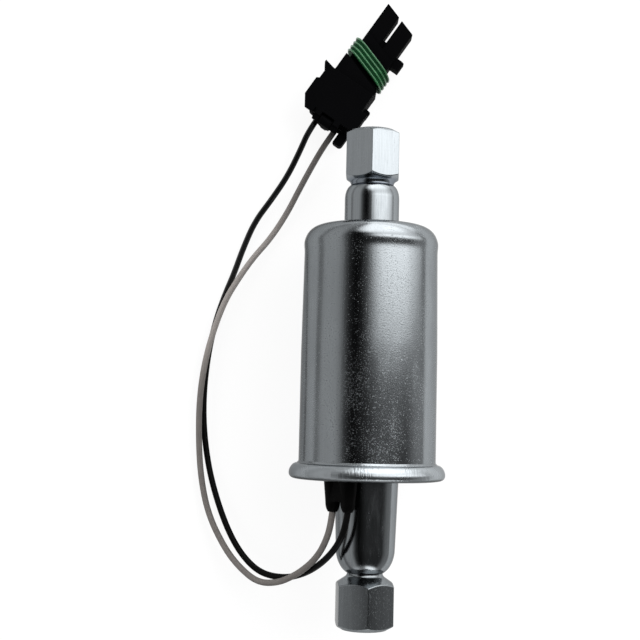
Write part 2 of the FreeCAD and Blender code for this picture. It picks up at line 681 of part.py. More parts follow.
def make_pole_washer(low):
    """Steel washer that carries the field from the sleeve to the plunger."""
    return ring(low, low + WASHER_THICKNESS, WASHER_RADIUS, TUBE_RADIUS + FIT_GAP)


def make_flux_sleeve():
    """Steel sleeve around the windings."""
    return ring(BOBBIN_START, BOBBIN_END, WASHER_RADIUS, WASHER_RADIUS - SLEEVE_WALL)


def make_coil_bobbin():
    """Nylon spool: hub and two flanges."""
    bore = TUBE_RADIUS + FIT_GAP
    hub = bore + BOBBIN_HUB_WALL
    return turned(
        (BOBBIN_START, bore),
        (BOBBIN_START, BOBBIN_FLANGE_RADIUS),
        (BOBBIN_START + BOBBIN_FLANGE, BOBBIN_FLANGE_RADIUS),
        (BOBBIN_START + BOBBIN_FLANGE, hub),
        (BOBBIN_END - BOBBIN_FLANGE, hub),
        (BOBBIN_END - BOBBIN_FLANGE, BOBBIN_FLANGE_RADIUS),
        (BOBBIN_END, BOBBIN_FLANGE_RADIUS),
        (BOBBIN_END, bore),
    )


def make_winding(outer, inner):
    """One winding between the bobbin's flanges."""
    low = BOBBIN_START + BOBBIN_FLANGE + FIT_GAP
    high = BOBBIN_END - BOBBIN_FLANGE - FIT_GAP
    return ring(low, high, outer, inner + FIT_GAP)


def make_lower_spacer():
    """Tube that carries the solenoid on the base plate, open beside the grommet."""
    tube = ring(PLATE_HIGH, COIL_START, LOWER_SPACER_RADIUS, LOWER_SPACER_RADIUS - SPACER_WALL)
    reach = slotted_bar(PLATE_HIGH - OVERLAP, PLATE_HIGH + 3 * GROMMET_FLANGE,
                        BOOT_ROOT_RADIUS + SEAT_GAP)
    return tube.cut(reach)


def make_upper_spacer():
    """Tube between the solenoid and the can's top."""
    return ring(COIL_END, NUT_HIGH, UPPER_SPACER_RADIUS, UPPER_SPACER_RADIUS - SPACER_WALL)


def standoff_places():
    """Middles of the board's standoffs."""
    return [polar(STANDOFF_CIRCLE - STANDOFF_RADIUS, STANDOFF_START_DEG + 360 / STANDOFF_COUNT * k)
            for k in range(STANDOFF_COUNT)]


def make_board_standoffs():
    """Three pillars that carry the circuit board on the base plate."""
    return Part.makeCompound([cylinder(PLATE_HIGH, BOARD_LOW, STANDOFF_RADIUS, x, up)
                              for x, up in standoff_places()])


def make_circuit_board():
    """Round board about the inlet spigot."""
    outer = LOWER_SPACER_RADIUS - SPACER_WALL - SEAT_GAP
    return ring(BOARD_LOW, BOARD_HIGH, outer, INLET_SPIGOT_RADIUS + SEAT_GAP)


def component_frame(bearing_deg):
    """Placement of a component that stands on the board."""
    x, up = polar(COMPONENT_CIRCLE, bearing_deg)
    return Placement(place(BOARD_HIGH, x, up), Rotation(ALONG, 90 - bearing_deg))


def make_power_transistor():
    """Upright transistor that switches the drive winding."""
    body = Part.makeBox(TRANSISTOR_WIDTH, TRANSISTOR_HEIGHT, TRANSISTOR_DEPTH,
                        Vector(-TRANSISTOR_WIDTH / 2, 0, -TRANSISTOR_DEPTH / 2))
    body.Placement = component_frame(TRANSISTOR_BEARING_DEG)
    return body


def make_board_capacitor():
    """Round capacitor beside the transistor."""
    x, up = polar(COMPONENT_CIRCLE, CAPACITOR_BEARING_DEG)
    return cylinder(BOARD_HIGH, BOARD_HIGH + CAPACITOR_HEIGHT, CAPACITOR_RADIUS, x, up)


def lead_tube(name, points, radius):
    """A lead: straight runs joined by arcs as large as the runs allow."""
    corners = [Vector(*p) for p in points]
    edges = []
    radii = []
    here = corners[0]
    for before, corner, after in zip(corners, corners[1:], corners[2:]):
        into = corner - before
        out = after - corner
        shorter = min(into.Length, out.Length)
        turn = into.getAngle(out)
        into.normalize()
        out.normalize()
        trim = ARC_SHARE * shorter
        bend = trim / math.tan(turn / 2)
        radii.append(bend)
        start = corner - into * trim
        end = corner + out * trim
        inward = out - into
        inward.normalize()
        centre = corner + inward * (bend / math.cos(turn / 2))
        edges.append(Part.LineSegment(here, start).toShape())
        edges.append(Part.Arc(start, centre - inward * bend, end).toShape())
        here = end
    edges.append(Part.LineSegment(here, corners[-1]).toShape())
    path = Part.Wire(edges)
    first = corners[1] - corners[0]
    circle = Part.Wire(Part.Circle(corners[0], first, radius).toShape())
    tube = path.makePipeShell([circle], True, False)
    section = math.pi * radius * radius
    print(name, "length", round(path.Length, 1), "radii", [round(r, 1) for r in radii])
    print(name, "volume", round(tube.Volume, 1), "section x length", round(section * path.Length, 1))
    return tube


def on_plug(shape):
    """Move a shape from the plug's own frame: x along it, y to its left, z up."""
    frame = Placement(Vector(PLUG_REAR_X, PLUG_REAR_Y, PLUG_AXIS_HEIGHT),
                      Rotation(Vector(0, 0, 1), PLUG_BEARING_DEG))
    moved = shape.copy()
    moved.Placement = frame.multiply(moved.Placement)
    return moved


def rounded_bar(low, high, width, thickness, corner, left=0.0):
    """A bar along the plug with rounded long edges."""
    bar = Part.makeBox(high - low, width, thickness, Vector(low, left - width / 2, -thickness / 2))
    long_edges = [e for e in bar.Edges if e.BoundBox.XLength > NEAR]
    return bar.makeFillet(corner, long_edges)


def slanted_slab(low, high):
    """Everything between two slanted planes across the plug."""
    half = BODY_WIDTH
    shift = half * SLANT
    corners = [Vector(low - shift, -half, -half), Vector(high - shift, -half, -half),
               Vector(high + shift, half, -half), Vector(low + shift, half, -half)]
    face = Part.Face(Part.makePolygon(corners + corners[:1]))
    return face.extrude(Vector(0, 0, 2 * half))


def slanted_bar(low, high, width, thickness, corner):
    """A bar with rounded long edges whose ends are cut on the slant."""
    margin = width * SLANT + OVERLAP
    bar = rounded_bar(low - margin, high + margin, width, thickness, corner)
    return bar.common(slanted_slab(low, high))


def tower_bar(left):
    """One square tower of the mating end."""
    margin = BODY_WIDTH * SLANT
    bar = rounded_bar(PLUG_SEAL_FRONT - margin, PLUG_LENGTH + margin, TOWER_WIDTH,
                      TOWER_THICKNESS, TOWER_CORNER, left)
    return bar.common(slanted_slab(PLUG_SEAL_FRONT, PLUG_LENGTH))


def side_nub(start, length, face, reach, low, height):
    """A nub on the plug's right side, rounded along its outer upper edge."""
    nub = Part.makeBox(length, reach + OVERLAP, height, Vector(start, -face - reach, low))
    top = [e for e in nub.Edges if e.BoundBox.YMax < -face - reach + NEAR
           and e.BoundBox.ZMin > low + height - NEAR]
    return nub.makeFillet(NUB_CORNER, top)


def rear_tongue():
    """Blunt tongue that runs back beside the right lead."""
    tongue = Part.makeBox(TONGUE_LENGTH, TONGUE_WIDTH, TONGUE_HEIGHT,
                          Vector(TONGUE_REAR, -TONGUE_RIGHT, TONGUE_LOW))
    rear_edges = [e for e in tongue.Edges if e.BoundBox.XMax < TONGUE_REAR + NEAR
                  and e.BoundBox.ZLength > NEAR]
    return tongue.makeFillet(TONGUE_CORNER, rear_edges)


def make_plug_housing():
    """Moulded body: two towers, neck, seal core, slanted shoulder, rear collar and nubs."""
    housing = slanted_bar(BODY_FRONT - OVERLAP, NECK_FRONT, NECK_WIDTH, NECK_THICKNESS,
                          NECK_CORNER)
    body = rounded_bar(BODY_REAR, BODY_FRONT + BODY_WIDTH * SLANT, BODY_WIDTH, BODY_THICKNESS,
                       BODY_CORNER)
    body = body.common(slanted_slab(-BODY_WIDTH, BODY_FRONT))
    collar = rounded_bar(COLLAR_REAR, BODY_REAR + OVERLAP, COLLAR_WIDTH, COLLAR_THICKNESS,
                         COLLAR_CORNER)
    housing = housing.fuse(body).fuse(collar)
    for side in (-1, 1):
        tower_middle = side * TERMINAL_SPACING / 2
        housing = housing.fuse(tower_bar(tower_middle))
    slot_end = PLUG_LENGTH - SLOT_LENGTH
    web_width = TERMINAL_SPACING - TOWER_WIDTH + OVERLAP
    web_thickness = TOWER_THICKNESS - 2 * WEB_DEPTH
    web = Part.makeBox(WEB_LENGTH, web_width, web_thickness,
                       Vector(slot_end - WEB_LENGTH, -web_width / 2, -web_thickness / 2))
    housing = housing.fuse(web)
    housing = housing.fuse(side_nub(FRONT_NUB_START, FRONT_NUB_LENGTH, NECK_WIDTH / 2,
                                    FRONT_NUB_REACH, -FRONT_NUB_HEIGHT / 2, FRONT_NUB_HEIGHT))
    housing = housing.fuse(side_nub(SIDE_NUB_START, SIDE_NUB_LENGTH, BODY_WIDTH / 2,
                                    SIDE_NUB_REACH, SIDE_NUB_LOW, SIDE_NUB_HEIGHT))
    housing = housing.cut(knuckle_room()).fuse(hinge_lug()).fuse(rear_tongue())
    for side in (-1, 1):
        middle = side * TERMINAL_SPACING / 2
        cavity = Part.makeBox(PLUG_LENGTH, CAVITY_WIDTH, CAVITY_HEIGHT,
                              Vector(CABLE_BORE_DEPTH - OVERLAP, middle - CAVITY_WIDTH / 2,
                                     -CAVITY_HEIGHT / 2))
        bore_start = TONGUE_REAR - OVERLAP
        bore = Part.makeCylinder(CABLE_BORE, CABLE_BORE_DEPTH - bore_start,
                                 Vector(bore_start, middle, 0), Vector(1, 0, 0))
        housing = housing.cut(cavity).cut(bore)
    return on_plug(housing.cut(hinge_bar(LOCK_PIN_RADIUS + SLIP_GAP)))


def hinge_height():
    """Height of the rear lock's hinge in the plug's frame."""
    return BODY_THICKNESS / 2 - HINGE_INSET


def hinge_bar(radius):
    """A round bar on the lock's hinge axis, right across the plug."""
    half = BODY_WIDTH / 2 + LOCK_LEFT_CHEEK
    return Part.makeCylinder(radius, 2 * half, Vector(HINGE_STATION, -half, hinge_height()),
                             Vector(0, 1, 0))


def knuckle_room():
    """Space that the lock's knuckles turn in, clear of the collar."""
    return hinge_bar(LOCK_KNUCKLE_RADIUS + SEAT_GAP)


def hinge_lug():
    """Lug on the collar that carries the middle of the lock's hinge pin."""
    z = hinge_height()
    length = HINGE_LUG_LENGTH
    rear = HINGE_STATION - LOCK_KNUCKLE_RADIUS
    lug = Part.makeCylinder(LOCK_KNUCKLE_RADIUS, length, Vector(HINGE_STATION, -length / 2, z),
                            Vector(0, 1, 0))
    foot = Part.makeBox(BODY_REAR + OVERLAP - rear, length, z, Vector(rear, -length / 2, 0))
    return lug.fuse(foot)


def make_plug_seal():
    """Ribbed rubber ring behind the towers, set on the slant."""
    length = PLUG_SEAL_FRONT - PLUG_SEAL_REAR
    pitch = length / (PLUG_SEAL_RIBS - 0.5)
    groove_width = PLUG_SEAL_WIDTH - 2 * PLUG_SEAL_GROOVE
    groove_thickness = PLUG_SEAL_THICKNESS - 2 * PLUG_SEAL_GROOVE
    seal = slanted_bar(PLUG_SEAL_REAR, PLUG_SEAL_FRONT, groove_width, groove_thickness,
                       PLUG_SEAL_CORNER - PLUG_SEAL_GROOVE)
    for k in range(PLUG_SEAL_RIBS):
        low = PLUG_SEAL_REAR + pitch * k
        seal = seal.fuse(slanted_bar(low, low + pitch / 2, PLUG_SEAL_WIDTH,
                                     PLUG_SEAL_THICKNESS, PLUG_SEAL_CORNER))
    core = rounded_bar(0, PLUG_LENGTH, NECK_WIDTH + 2 * FIT_GAP, NECK_THICKNESS + 2 * FIT_GAP,
                       NECK_CORNER)
    return on_plug(seal.cut(core))


def make_plug_terminals():
    """Two hollow contacts, one in each tower."""
    contacts = []
    for side in (-1, 1):
        middle = side * TERMINAL_SPACING / 2
        low = PLUG_LENGTH - CAVITY_DEPTH
        outer = Part.makeBox(TERMINAL_BOX_LENGTH, TERMINAL_WIDTH, TERMINAL_HEIGHT,
                             Vector(low, middle - TERMINAL_WIDTH / 2, -TERMINAL_HEIGHT / 2))
        hollow = Part.makeBox(TERMINAL_BOX_LENGTH, TERMINAL_WIDTH - 2 * TERMINAL_WALL,
                              TERMINAL_HEIGHT - 2 * TERMINAL_WALL,
                              Vector(low + TERMINAL_WALL, middle - TERMINAL_WIDTH / 2 + TERMINAL_WALL,
                                     -TERMINAL_HEIGHT / 2 + TERMINAL_WALL))
        crimp_start = CABLE_SEAL_REAR + CABLE_SEAL_LENGTH + CRIMP_GAP
        crimp = Part.makeCylinder(LEAD_RADIUS, low - crimp_start,
                                  Vector(crimp_start, middle, 0), Vector(1, 0, 0))
        contacts.append(outer.cut(hollow).fuse(crimp))
    return on_plug(Part.makeCompound(contacts))


def make_plug_cable_seals():
    """Two rubber plugs that seal the leads in the housing's rear bores."""
    seals = []
    for side in (-1, 1):
        middle = side * TERMINAL_SPACING / 2
        seals.append(Part.makeCylinder(CABLE_BORE - FIT_GAP, CABLE_SEAL_LENGTH,
                                       Vector(CABLE_SEAL_REAR, middle, 0), Vector(1, 0, 0)))
    return on_plug(Part.makeCompound(seals))


def lock_outline():
    """The lock from above: ear, stepped left cheek with its horn, and right cheek."""
    rear = HINGE_STATION + LOCK_KNUCKLE_RADIUS
    side = BODY_WIDTH / 2 + SEAT_GAP
    left = side + LOCK_LEFT_CHEEK
    waist = left - LOCK_WAIST_DEPTH
    horn_root = LOCK_WAIST_FRONT + LOCK_WAIST_DEPTH
    corners = [
        (rear, -side - LOCK_RIGHT_CHEEK), (SIDE_NUB_START - SEAT_GAP, -side - LOCK_RIGHT_CHEEK),
        (SIDE_NUB_START - SEAT_GAP, -BODY_WIDTH / 2), (LOCK_FRONT, -BODY_WIDTH / 2),
        (LOCK_FRONT, side), (LOCK_FRONT + LOCK_HORN_LEAN, left + LOCK_HORN_LEAN),
        (LOCK_FRONT, left + LOCK_HORN_LEAN), (horn_root, left), (LOCK_WAIST_FRONT, waist),
        (LOCK_WAIST_REAR, waist), (LOCK_WAIST_REAR - LOCK_WAIST_DEPTH / 2, left),
        (LOCK_CHEEK_START, left), (LOCK_EAR_REAR, LOCK_EAR_END),
        (LOCK_EAR_REAR, LOCK_EAR_START), (rear, LOCK_EAR_START),
    ]
    return [Vector(x, y, 0) for x, y in corners]


def make_plug_rear_lock():
    """Hinged cover over the rear end, with a long left cheek and a short right one."""
    x = HINGE_STATION
    z = hinge_height()
    top = BODY_THICKNESS / 2 + SEAT_GAP
    side = BODY_WIDTH / 2 + SEAT_GAP
    outline = lock_outline()
    face = Part.Face(Part.makePolygon(outline + outline[:1]))
    lock = face.extrude(Vector(0, 0, LOCK_COVER)).translated(Vector(0, 0, top))
    for edge, drop in ((side, LOCK_LEFT_DROP), (-side - BODY_WIDTH, LOCK_RIGHT_DROP)):
        room = Part.makeBox(BODY_WIDTH, BODY_WIDTH, drop + LOCK_COVER,
                            Vector(LOCK_CHEEK_START, edge, top - drop))
        slab = face.extrude(Vector(0, 0, drop + LOCK_COVER)).translated(Vector(0, 0, top - drop))
        lock = lock.fuse(slab.common(room))
    inner = HINGE_LUG_LENGTH / 2 + SEAT_GAP
    for way in (-1, 1):
        start = inner if way > 0 else -inner - LOCK_KNUCKLE_LENGTH
        knuckle = Part.makeCylinder(LOCK_KNUCKLE_RADIUS, LOCK_KNUCKLE_LENGTH,
                                    Vector(x, start, z), Vector(0, 1, 0))
        arm = Part.makeBox(2 * LOCK_KNUCKLE_RADIUS + OVERLAP, LOCK_KNUCKLE_LENGTH, LOCK_COVER,
                           Vector(x, start, top))
        rise = Part.makeBox(LOCK_KNUCKLE_RADIUS, LOCK_KNUCKLE_LENGTH, top + LOCK_COVER - z,
                            Vector(x, start, z))
        lock = lock.fuse(knuckle).fuse(arm).fuse(rise)
    half = inner + LOCK_KNUCKLE_LENGTH
    pin = Part.makeCylinder(LOCK_PIN_RADIUS, 2 * half, Vector(x, -half, z), Vector(0, 1, 0))
    return on_plug(lock.fuse(pin))


def make_parts():
    """Every piece of the pump, by node name."""
    bobbin_hub = TUBE_RADIUS + FIT_GAP + BOBBIN_HUB_WALL
    inlet_spring_low = DISC_SEAT + DISC_THICKNESS
    plunger_spring_low = POCKET_FLOOR + SLIP_GAP + DISC_THICKNESS
    return {
        "can": make_can(),
        "base_plate": make_base_plate(),
        "base_gasket": make_base_gasket(),
        "lead_grommet": make_lead_grommet(),
        "inlet_fitting": make_inlet_fitting(),
        "outlet_fitting": make_outlet_fitting(),
        "outlet_nut": make_outlet_nut(),
        "tube_seal": make_tube_seal(),
        "pump_tube": make_pump_tube(),
        "inlet_strainer": make_inlet_strainer(),
        "inlet_valve_seat": make_inlet_valve_seat(),
        "inlet_valve_cage": make_inlet_valve_cage(),
        "inlet_valve_disc": valve_disc(DISC_SEAT),
        "inlet_valve_spring": helical_spring(inlet_spring_low, CAGE_TOP_STATION - CAGE_TOP,
                                             VALVE_SPRING_MEAN, VALVE_SPRING_WIRE,
                                             VALVE_SPRING_TURNS),
        "plunger": make_plunger(),
        "plunger_spring": helical_spring(CAGE_TOP_STATION, PLUNGER_LOW, PLUNGER_SPRING_MEAN,
                                         PLUNGER_SPRING_WIRE, PLUNGER_SPRING_TURNS),
        "plunger_valve_disc": valve_disc(POCKET_FLOOR + SLIP_GAP),
        "plunger_valve_spring": helical_spring(plunger_spring_low,
                                               PLUNGER_HIGH - CAGE_RING_THICKNESS,
                                               VALVE_SPRING_MEAN, VALVE_SPRING_WIRE,
                                               VALVE_SPRING_TURNS),
        "plunger_valve_cage": make_plunger_valve_cage(),
        "outlet_bumper": make_outlet_bumper(),
        "coil_bobbin": make_coil_bobbin(),
        "drive_winding": make_winding(DRIVE_WINDING_RADIUS, bobbin_hub),
        "sensing_winding": make_winding(SENSING_WINDING_RADIUS, DRIVE_WINDING_RADIUS),
        "lower_pole_washer": make_pole_washer(COIL_START),
        "upper_pole_washer": make_pole_washer(BOBBIN_END),
        "flux_sleeve": make_flux_sleeve(),
        "lower_spacer": make_lower_spacer(),
        "upper_spacer": make_upper_spacer(),
        "circuit_board": make_circuit_board(),
        "board_standoffs": make_board_standoffs(),
        "power_transistor": make_power_transistor(),
        "board_capacitor": make_board_capacitor(),
        "grey_lead": lead_tube("grey_lead", GREY_ROUTE, LEAD_RADIUS),
        "black_lead": lead_tube("black_lead", BLACK_ROUTE, LEAD_RADIUS),
        "plug_housing": make_plug_housing(),
        "plug_seal": make_plug_seal(),
        "plug_terminals": make_plug_terminals(),
        "plug_cable_seals": make_plug_cable_seals(),
        "plug_rear_lock": make_plug_rear_lock(),
    }


os.makedirs("parts", exist_ok=True)
for name, shape in make_parts().items():
    print(name, "solids", len(shape.Solids), "valid", shape.isValid(), "volume", round(shape.Volume, 1))
    shape.exportStep("parts/" + name + ".step")
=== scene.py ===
import math

import bmesh
import bpy
from bpy.props import FloatProperty, FloatVectorProperty, IntProperty, PointerProperty
from mathutils import Matrix, Vector


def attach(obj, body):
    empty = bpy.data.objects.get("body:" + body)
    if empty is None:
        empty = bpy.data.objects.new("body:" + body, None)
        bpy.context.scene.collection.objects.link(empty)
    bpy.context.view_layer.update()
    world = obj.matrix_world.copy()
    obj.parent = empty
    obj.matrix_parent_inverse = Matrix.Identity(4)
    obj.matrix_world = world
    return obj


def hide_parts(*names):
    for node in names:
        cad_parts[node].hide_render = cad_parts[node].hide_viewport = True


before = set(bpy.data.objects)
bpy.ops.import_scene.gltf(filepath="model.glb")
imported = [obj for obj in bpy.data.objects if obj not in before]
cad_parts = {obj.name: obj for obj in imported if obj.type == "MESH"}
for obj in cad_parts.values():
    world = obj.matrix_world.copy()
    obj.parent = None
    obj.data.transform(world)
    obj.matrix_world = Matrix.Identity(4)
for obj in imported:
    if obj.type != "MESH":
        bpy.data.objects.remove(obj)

bl_info = {
    "name": "Electric Fuel Pump",
    "version": (1, 0, 0),
    "blender": (4, 5, 0),
    "location": "3D View > Sidebar > Fuel Pump",
    "description": "Dresses the solids of an in-line electric fuel pump, piece by piece",
    "category": "Object",
}

# Sizes in millimetres, as in the solids. The axis runs along Y at AXIS_HEIGHT above the floor,
# and a station is a distance along it from the inlet's end face.
MM = 0.001
AXIS_HEIGHT = 28.95
HALF_LENGTH = 92.65
PUMP_LENGTH = 2 * HALF_LENGTH
SEAM_LOW = 54.35
SEAM_HIGH = 60.15
SEAM_RADIUS = 28.95
SEAM_LIP_RADIUS = 23.3
SEAM_SKEW = 0.25
PLATE_LOW = 55.35
PLATE_HIGH = 59.15
PLATE_RADIUS = 27.4
CAN_TOP = 148.5
CAN_WALL = 1.0
CAN_TOP_RADIUS = 24.9
CAN_HOLE_RADIUS = 8.9
SHOULDER_RADIUS = 6.3
FOOT_RADIUS = 0.8
CLAMP_BAND_HIGH = 101.35
SWELL = 0.24
SWELL_STATION = 141.7
SWELL_WIDTH = 1.9
FACE_RADIUS = 8.5
HEXAGON_EASE = 0.3
PORT_RADIUS = 6.25
PORT_DEPTH = 13.0
PORT_LEAD = 0.8
DRILL_DEPTH = 13.8
RELIEF_RADIUS = 5.7
THREAD_LENGTH = 10.6
PASSAGE_RADIUS = 3.6
TUBE_LOW = 47.35
TUBE_HIGH = 153.5
TUBE_SOCKET_RADIUS = 7.1
SPIGOT_HIGH = 63.35
LIP_LOW = 61.55
STUD_LOW = 141.5
LEAD_DIAMETER = 2.4
SEAM_TOP_Y = (SEAM_HIGH - HALF_LENGTH) * MM

# The plug's own frame: its rear face, its bearing and its slant
PLUG_REAR = Vector((-18.6, 99.6, 7.1))
PLUG_BEARING = math.radians(56.0)
SLANT = math.radians(18.0)

# The plug's seal in that frame. Sections of the band are (width, thickness, corner).
SEAL_LOW = 27.1
SEAL_LENGTH = 6.5
SEAL_WIDTH = 20.8
SEAL_THICKNESS = 14.2
SEAL_CORNER = 6.2
BAND_OUTSIDE = (19.6, 13.2, 5.7)
BAND_INSIDE = (15.4, 9.8, 1.2)

# Routes of the leads from the boots to the plug, in metres
GREY_ROUTE = [
    (-0.0125, -0.0496, 0.03995), (-0.0131, -0.0549, 0.0396), (-0.0146, -0.0602, 0.0379),
    (-0.017, -0.0654, 0.0343), (-0.0207, -0.0702, 0.0295), (-0.026, -0.0747, 0.0238),
    (-0.0324, -0.0782, 0.0182), (-0.04, -0.0788, 0.0138), (-0.0472, -0.0739, 0.0099),
    (-0.0534, -0.0671, 0.0066), (-0.0604, -0.0546, 0.0039), (-0.0639, -0.0404, 0.0029),
    (-0.0652, -0.0249, 0.0035), (-0.0653, -0.0092, 0.0041), (-0.0636, 0.0054, 0.0043),
    (-0.0602, 0.0189, 0.0043), (-0.0562, 0.0299, 0.0043), (-0.0515, 0.0382, 0.0038),
    (-0.0459, 0.0469, 0.0028), (-0.0393, 0.0548, 0.002), (-0.033, 0.0648, 0.0024),
    (-0.0278, 0.0754, 0.0036), (-0.0225, 0.0854, 0.0053), (-0.0181, 0.0928, 0.0071),
    (-0.01342, 0.09973, 0.0071),
]
BLACK_ROUTE = [
    (-0.00713, -0.0496, 0.04398), (-0.0079, -0.0548, 0.0436), (-0.0097, -0.06, 0.0416),
    (-0.0127, -0.065, 0.0373), (-0.0169, -0.0698, 0.0307), (-0.0222, -0.0739, 0.0231),
    (-0.0292, -0.0765, 0.0168), (-0.0384, -0.0759, 0.0114), (-0.0453, -0.071, 0.0075),
    (-0.0513, -0.0628, 0.0046), (-0.0565, -0.0512, 0.0026), (-0.0609, -0.0373, 0.0015),
    (-0.0635, -0.0217, 0.0013), (-0.064, -0.0068, 0.0013), (-0.0626, 0.0091, 0.0013),
    (-0.06, 0.0219, 0.0013), (-0.0567, 0.0322, 0.0013), (-0.0534, 0.0405, 0.0013),
    (-0.0503, 0.05, 0.0014), (-0.0457, 0.0615, 0.002), (-0.0391, 0.0705, 0.0032),
    (-0.0329, 0.0799, 0.0044), (-0.028, 0.0902, 0.0062), (-0.0249, 0.0978, 0.0071),
    (-0.02042, 0.10445, 0.0071),
]

# Camera, floor and lamps, in metres and watts. A lamp is (name, spot, size, power).
CAMERA_SPOT = (-0.0177, -0.01785, 0.47965)
CAMERA_AHEAD = (-0.002, 0.0849, -0.9964)
CAMERA_UP = (-0.0229, 0.9961, 0.0849)
FLOOR_LEVEL = -0.0002
FLOOR_REACH = 0.3
FLOOR_FAR_END = 0.2
FLOOR_MIDDLE = (-0.018, 0.023)
LAMPS = (("right_panel", (0.75, 0.35, 0.75), 0.9, 13.0),
         ("left_panel", (-0.9, 0.1, 0.45), 0.8, 8.0))

# What the metal mirrors. Walls and panel are brightness by the angle round the pump's axis in
# degrees, with 0 overhead and 90 on the right. The fade is the panel's share by how far a
# direction points along the axis, from FADE_START over FADE_LENGTH.
WALL_STOPS = (
    (-112, 0.9), (-100, 0.4), (-93, 0.25), (-89, 0.56), (-60, 0.58), (-51, 0.4), (-45, 0.14),
    (-38, 0.03), (-28, 0.0), (-14, 0.02), (0, 0.045), (62, 0.045), (69, 0.09), (75, 0.2),
    (82, 0.3), (98, 0.4), (112, 0.9))
PANEL_STOPS = (
    (-16, 0.0), (-5, 0.12), (5, 0.58), (14, 0.9), (27, 1.0), (62, 1.0), (74, 0.7), (90, 0.35),
    (98, 0.0))
FADE_STOPS = (
    (0.2, 0.0), (0.35, 0.0), (0.42, 0.02), (0.51, 0.04), (0.6, 0.4), (0.672, 0.7), (0.76, 0.96),
    (0.86, 1.0))
FADE_START = -0.2
FADE_LENGTH = 0.5
PANEL_MIDDLE_DEG = 48
PANEL_LEAN_DEG = 28

TURN = 2 * math.pi
SCENE = bpy.context.scene


# Settings that a user may change

class PumpSizes(bpy.types.PropertyGroup):
    """Sizes of the dressed pieces"""
    can_radius: FloatProperty(
        name="Can radius", description="Outside of the straight wall", default=0.0254,
        unit="LENGTH")
    inlet_flats: FloatProperty(
        name="Inlet hexagon", description="Across its flats", default=0.0202, unit="LENGTH")
    outlet_flats: FloatProperty(
        name="Outlet hexagon", description="Across its flats", default=0.0197, unit="LENGTH")
    hexagon_corner: FloatProperty(
        name="Hexagon corner", description="Rounding of the hexagons' corners", default=0.0003,
        unit="LENGTH")
    thread_pitch: FloatProperty(
        name="Thread pitch", description="Distance from crest to crest", default=0.0015,
        unit="LENGTH")
    seal_ribs: IntProperty(
        name="Seal ribs", description="Ribs on the plug's seal", default=4, min=1)
    edge: FloatProperty(
        name="Moulded edge", description="Rounding of the plug's edges", default=0.0003,
        unit="LENGTH")


class PumpColours(bpy.types.PropertyGroup):
    """Colours of the finishes"""
    zinc: FloatVectorProperty(
        name="Zinc plate", description="Can and fittings", default=(0.326, 0.35, 0.366),
        subtype="COLOR")
    boots: FloatVectorProperty(
        name="Boots", description="Grommet rubber", default=(0.0015, 0.0015, 0.0015),
        subtype="COLOR")
    grey: FloatVectorProperty(
        name="Grey lead", description="Insulation", default=(0.115, 0.106, 0.1), subtype="COLOR")
    black: FloatVectorProperty(
        name="Black lead", description="Insulation", default=(0.003, 0.003, 0.003),
        subtype="COLOR")
    seal: FloatVectorProperty(
        name="Plug seal", description="Green rubber", default=(0.017, 0.085, 0.031),
        subtype="COLOR")
    plug: FloatVectorProperty(
        name="Plug", description="Moulded plastic", default=(0.0015, 0.0015, 0.0017),
        subtype="COLOR")


class PumpStage(bpy.types.PropertyGroup):
    """Floor, lamps and camera"""
    floor: FloatVectorProperty(
        name="Floor", description="Colour of the floor", default=(0.92, 0.92, 0.92),
        subtype="COLOR")
    key: FloatProperty(
        name="Key", description="Strength of the panel above on the right", default=2.8, min=0)
    angle: FloatProperty(
        name="Camera angle", description="Angle across the picture", default=math.radians(29.67),
        subtype="ANGLE")


# Shader trees

class Field:
    """An output socket that takes part in arithmetic"""

    def __init__(self, tree, socket):
        self.tree = tree
        self.socket = socket

    def size(self):
        """The value without its sign"""
        return self.tree.maths("ABSOLUTE", self)

    def __add__(self, other):
        return self.tree.maths("ADD", self, other)

    def __radd__(self, other):
        return self.tree.maths("ADD", other, self)

    def __sub__(self, other):
        return self.tree.maths("SUBTRACT", self, other)

    def __rsub__(self, other):
        return self.tree.maths("SUBTRACT", other, self)

    def __mul__(self, other):
        return self.tree.maths("MULTIPLY", self, other)

    def __truediv__(self, other):
        return self.tree.maths("DIVIDE", self, other)

    def between(self, low, high):
        """0 below low and 1 above high, smooth in between"""
        return self.tree.node(
            "ShaderNodeMapRange", {"interpolation_type": "SMOOTHSTEP"},
            {"Value": self, "From Min": low, "From Max": high})


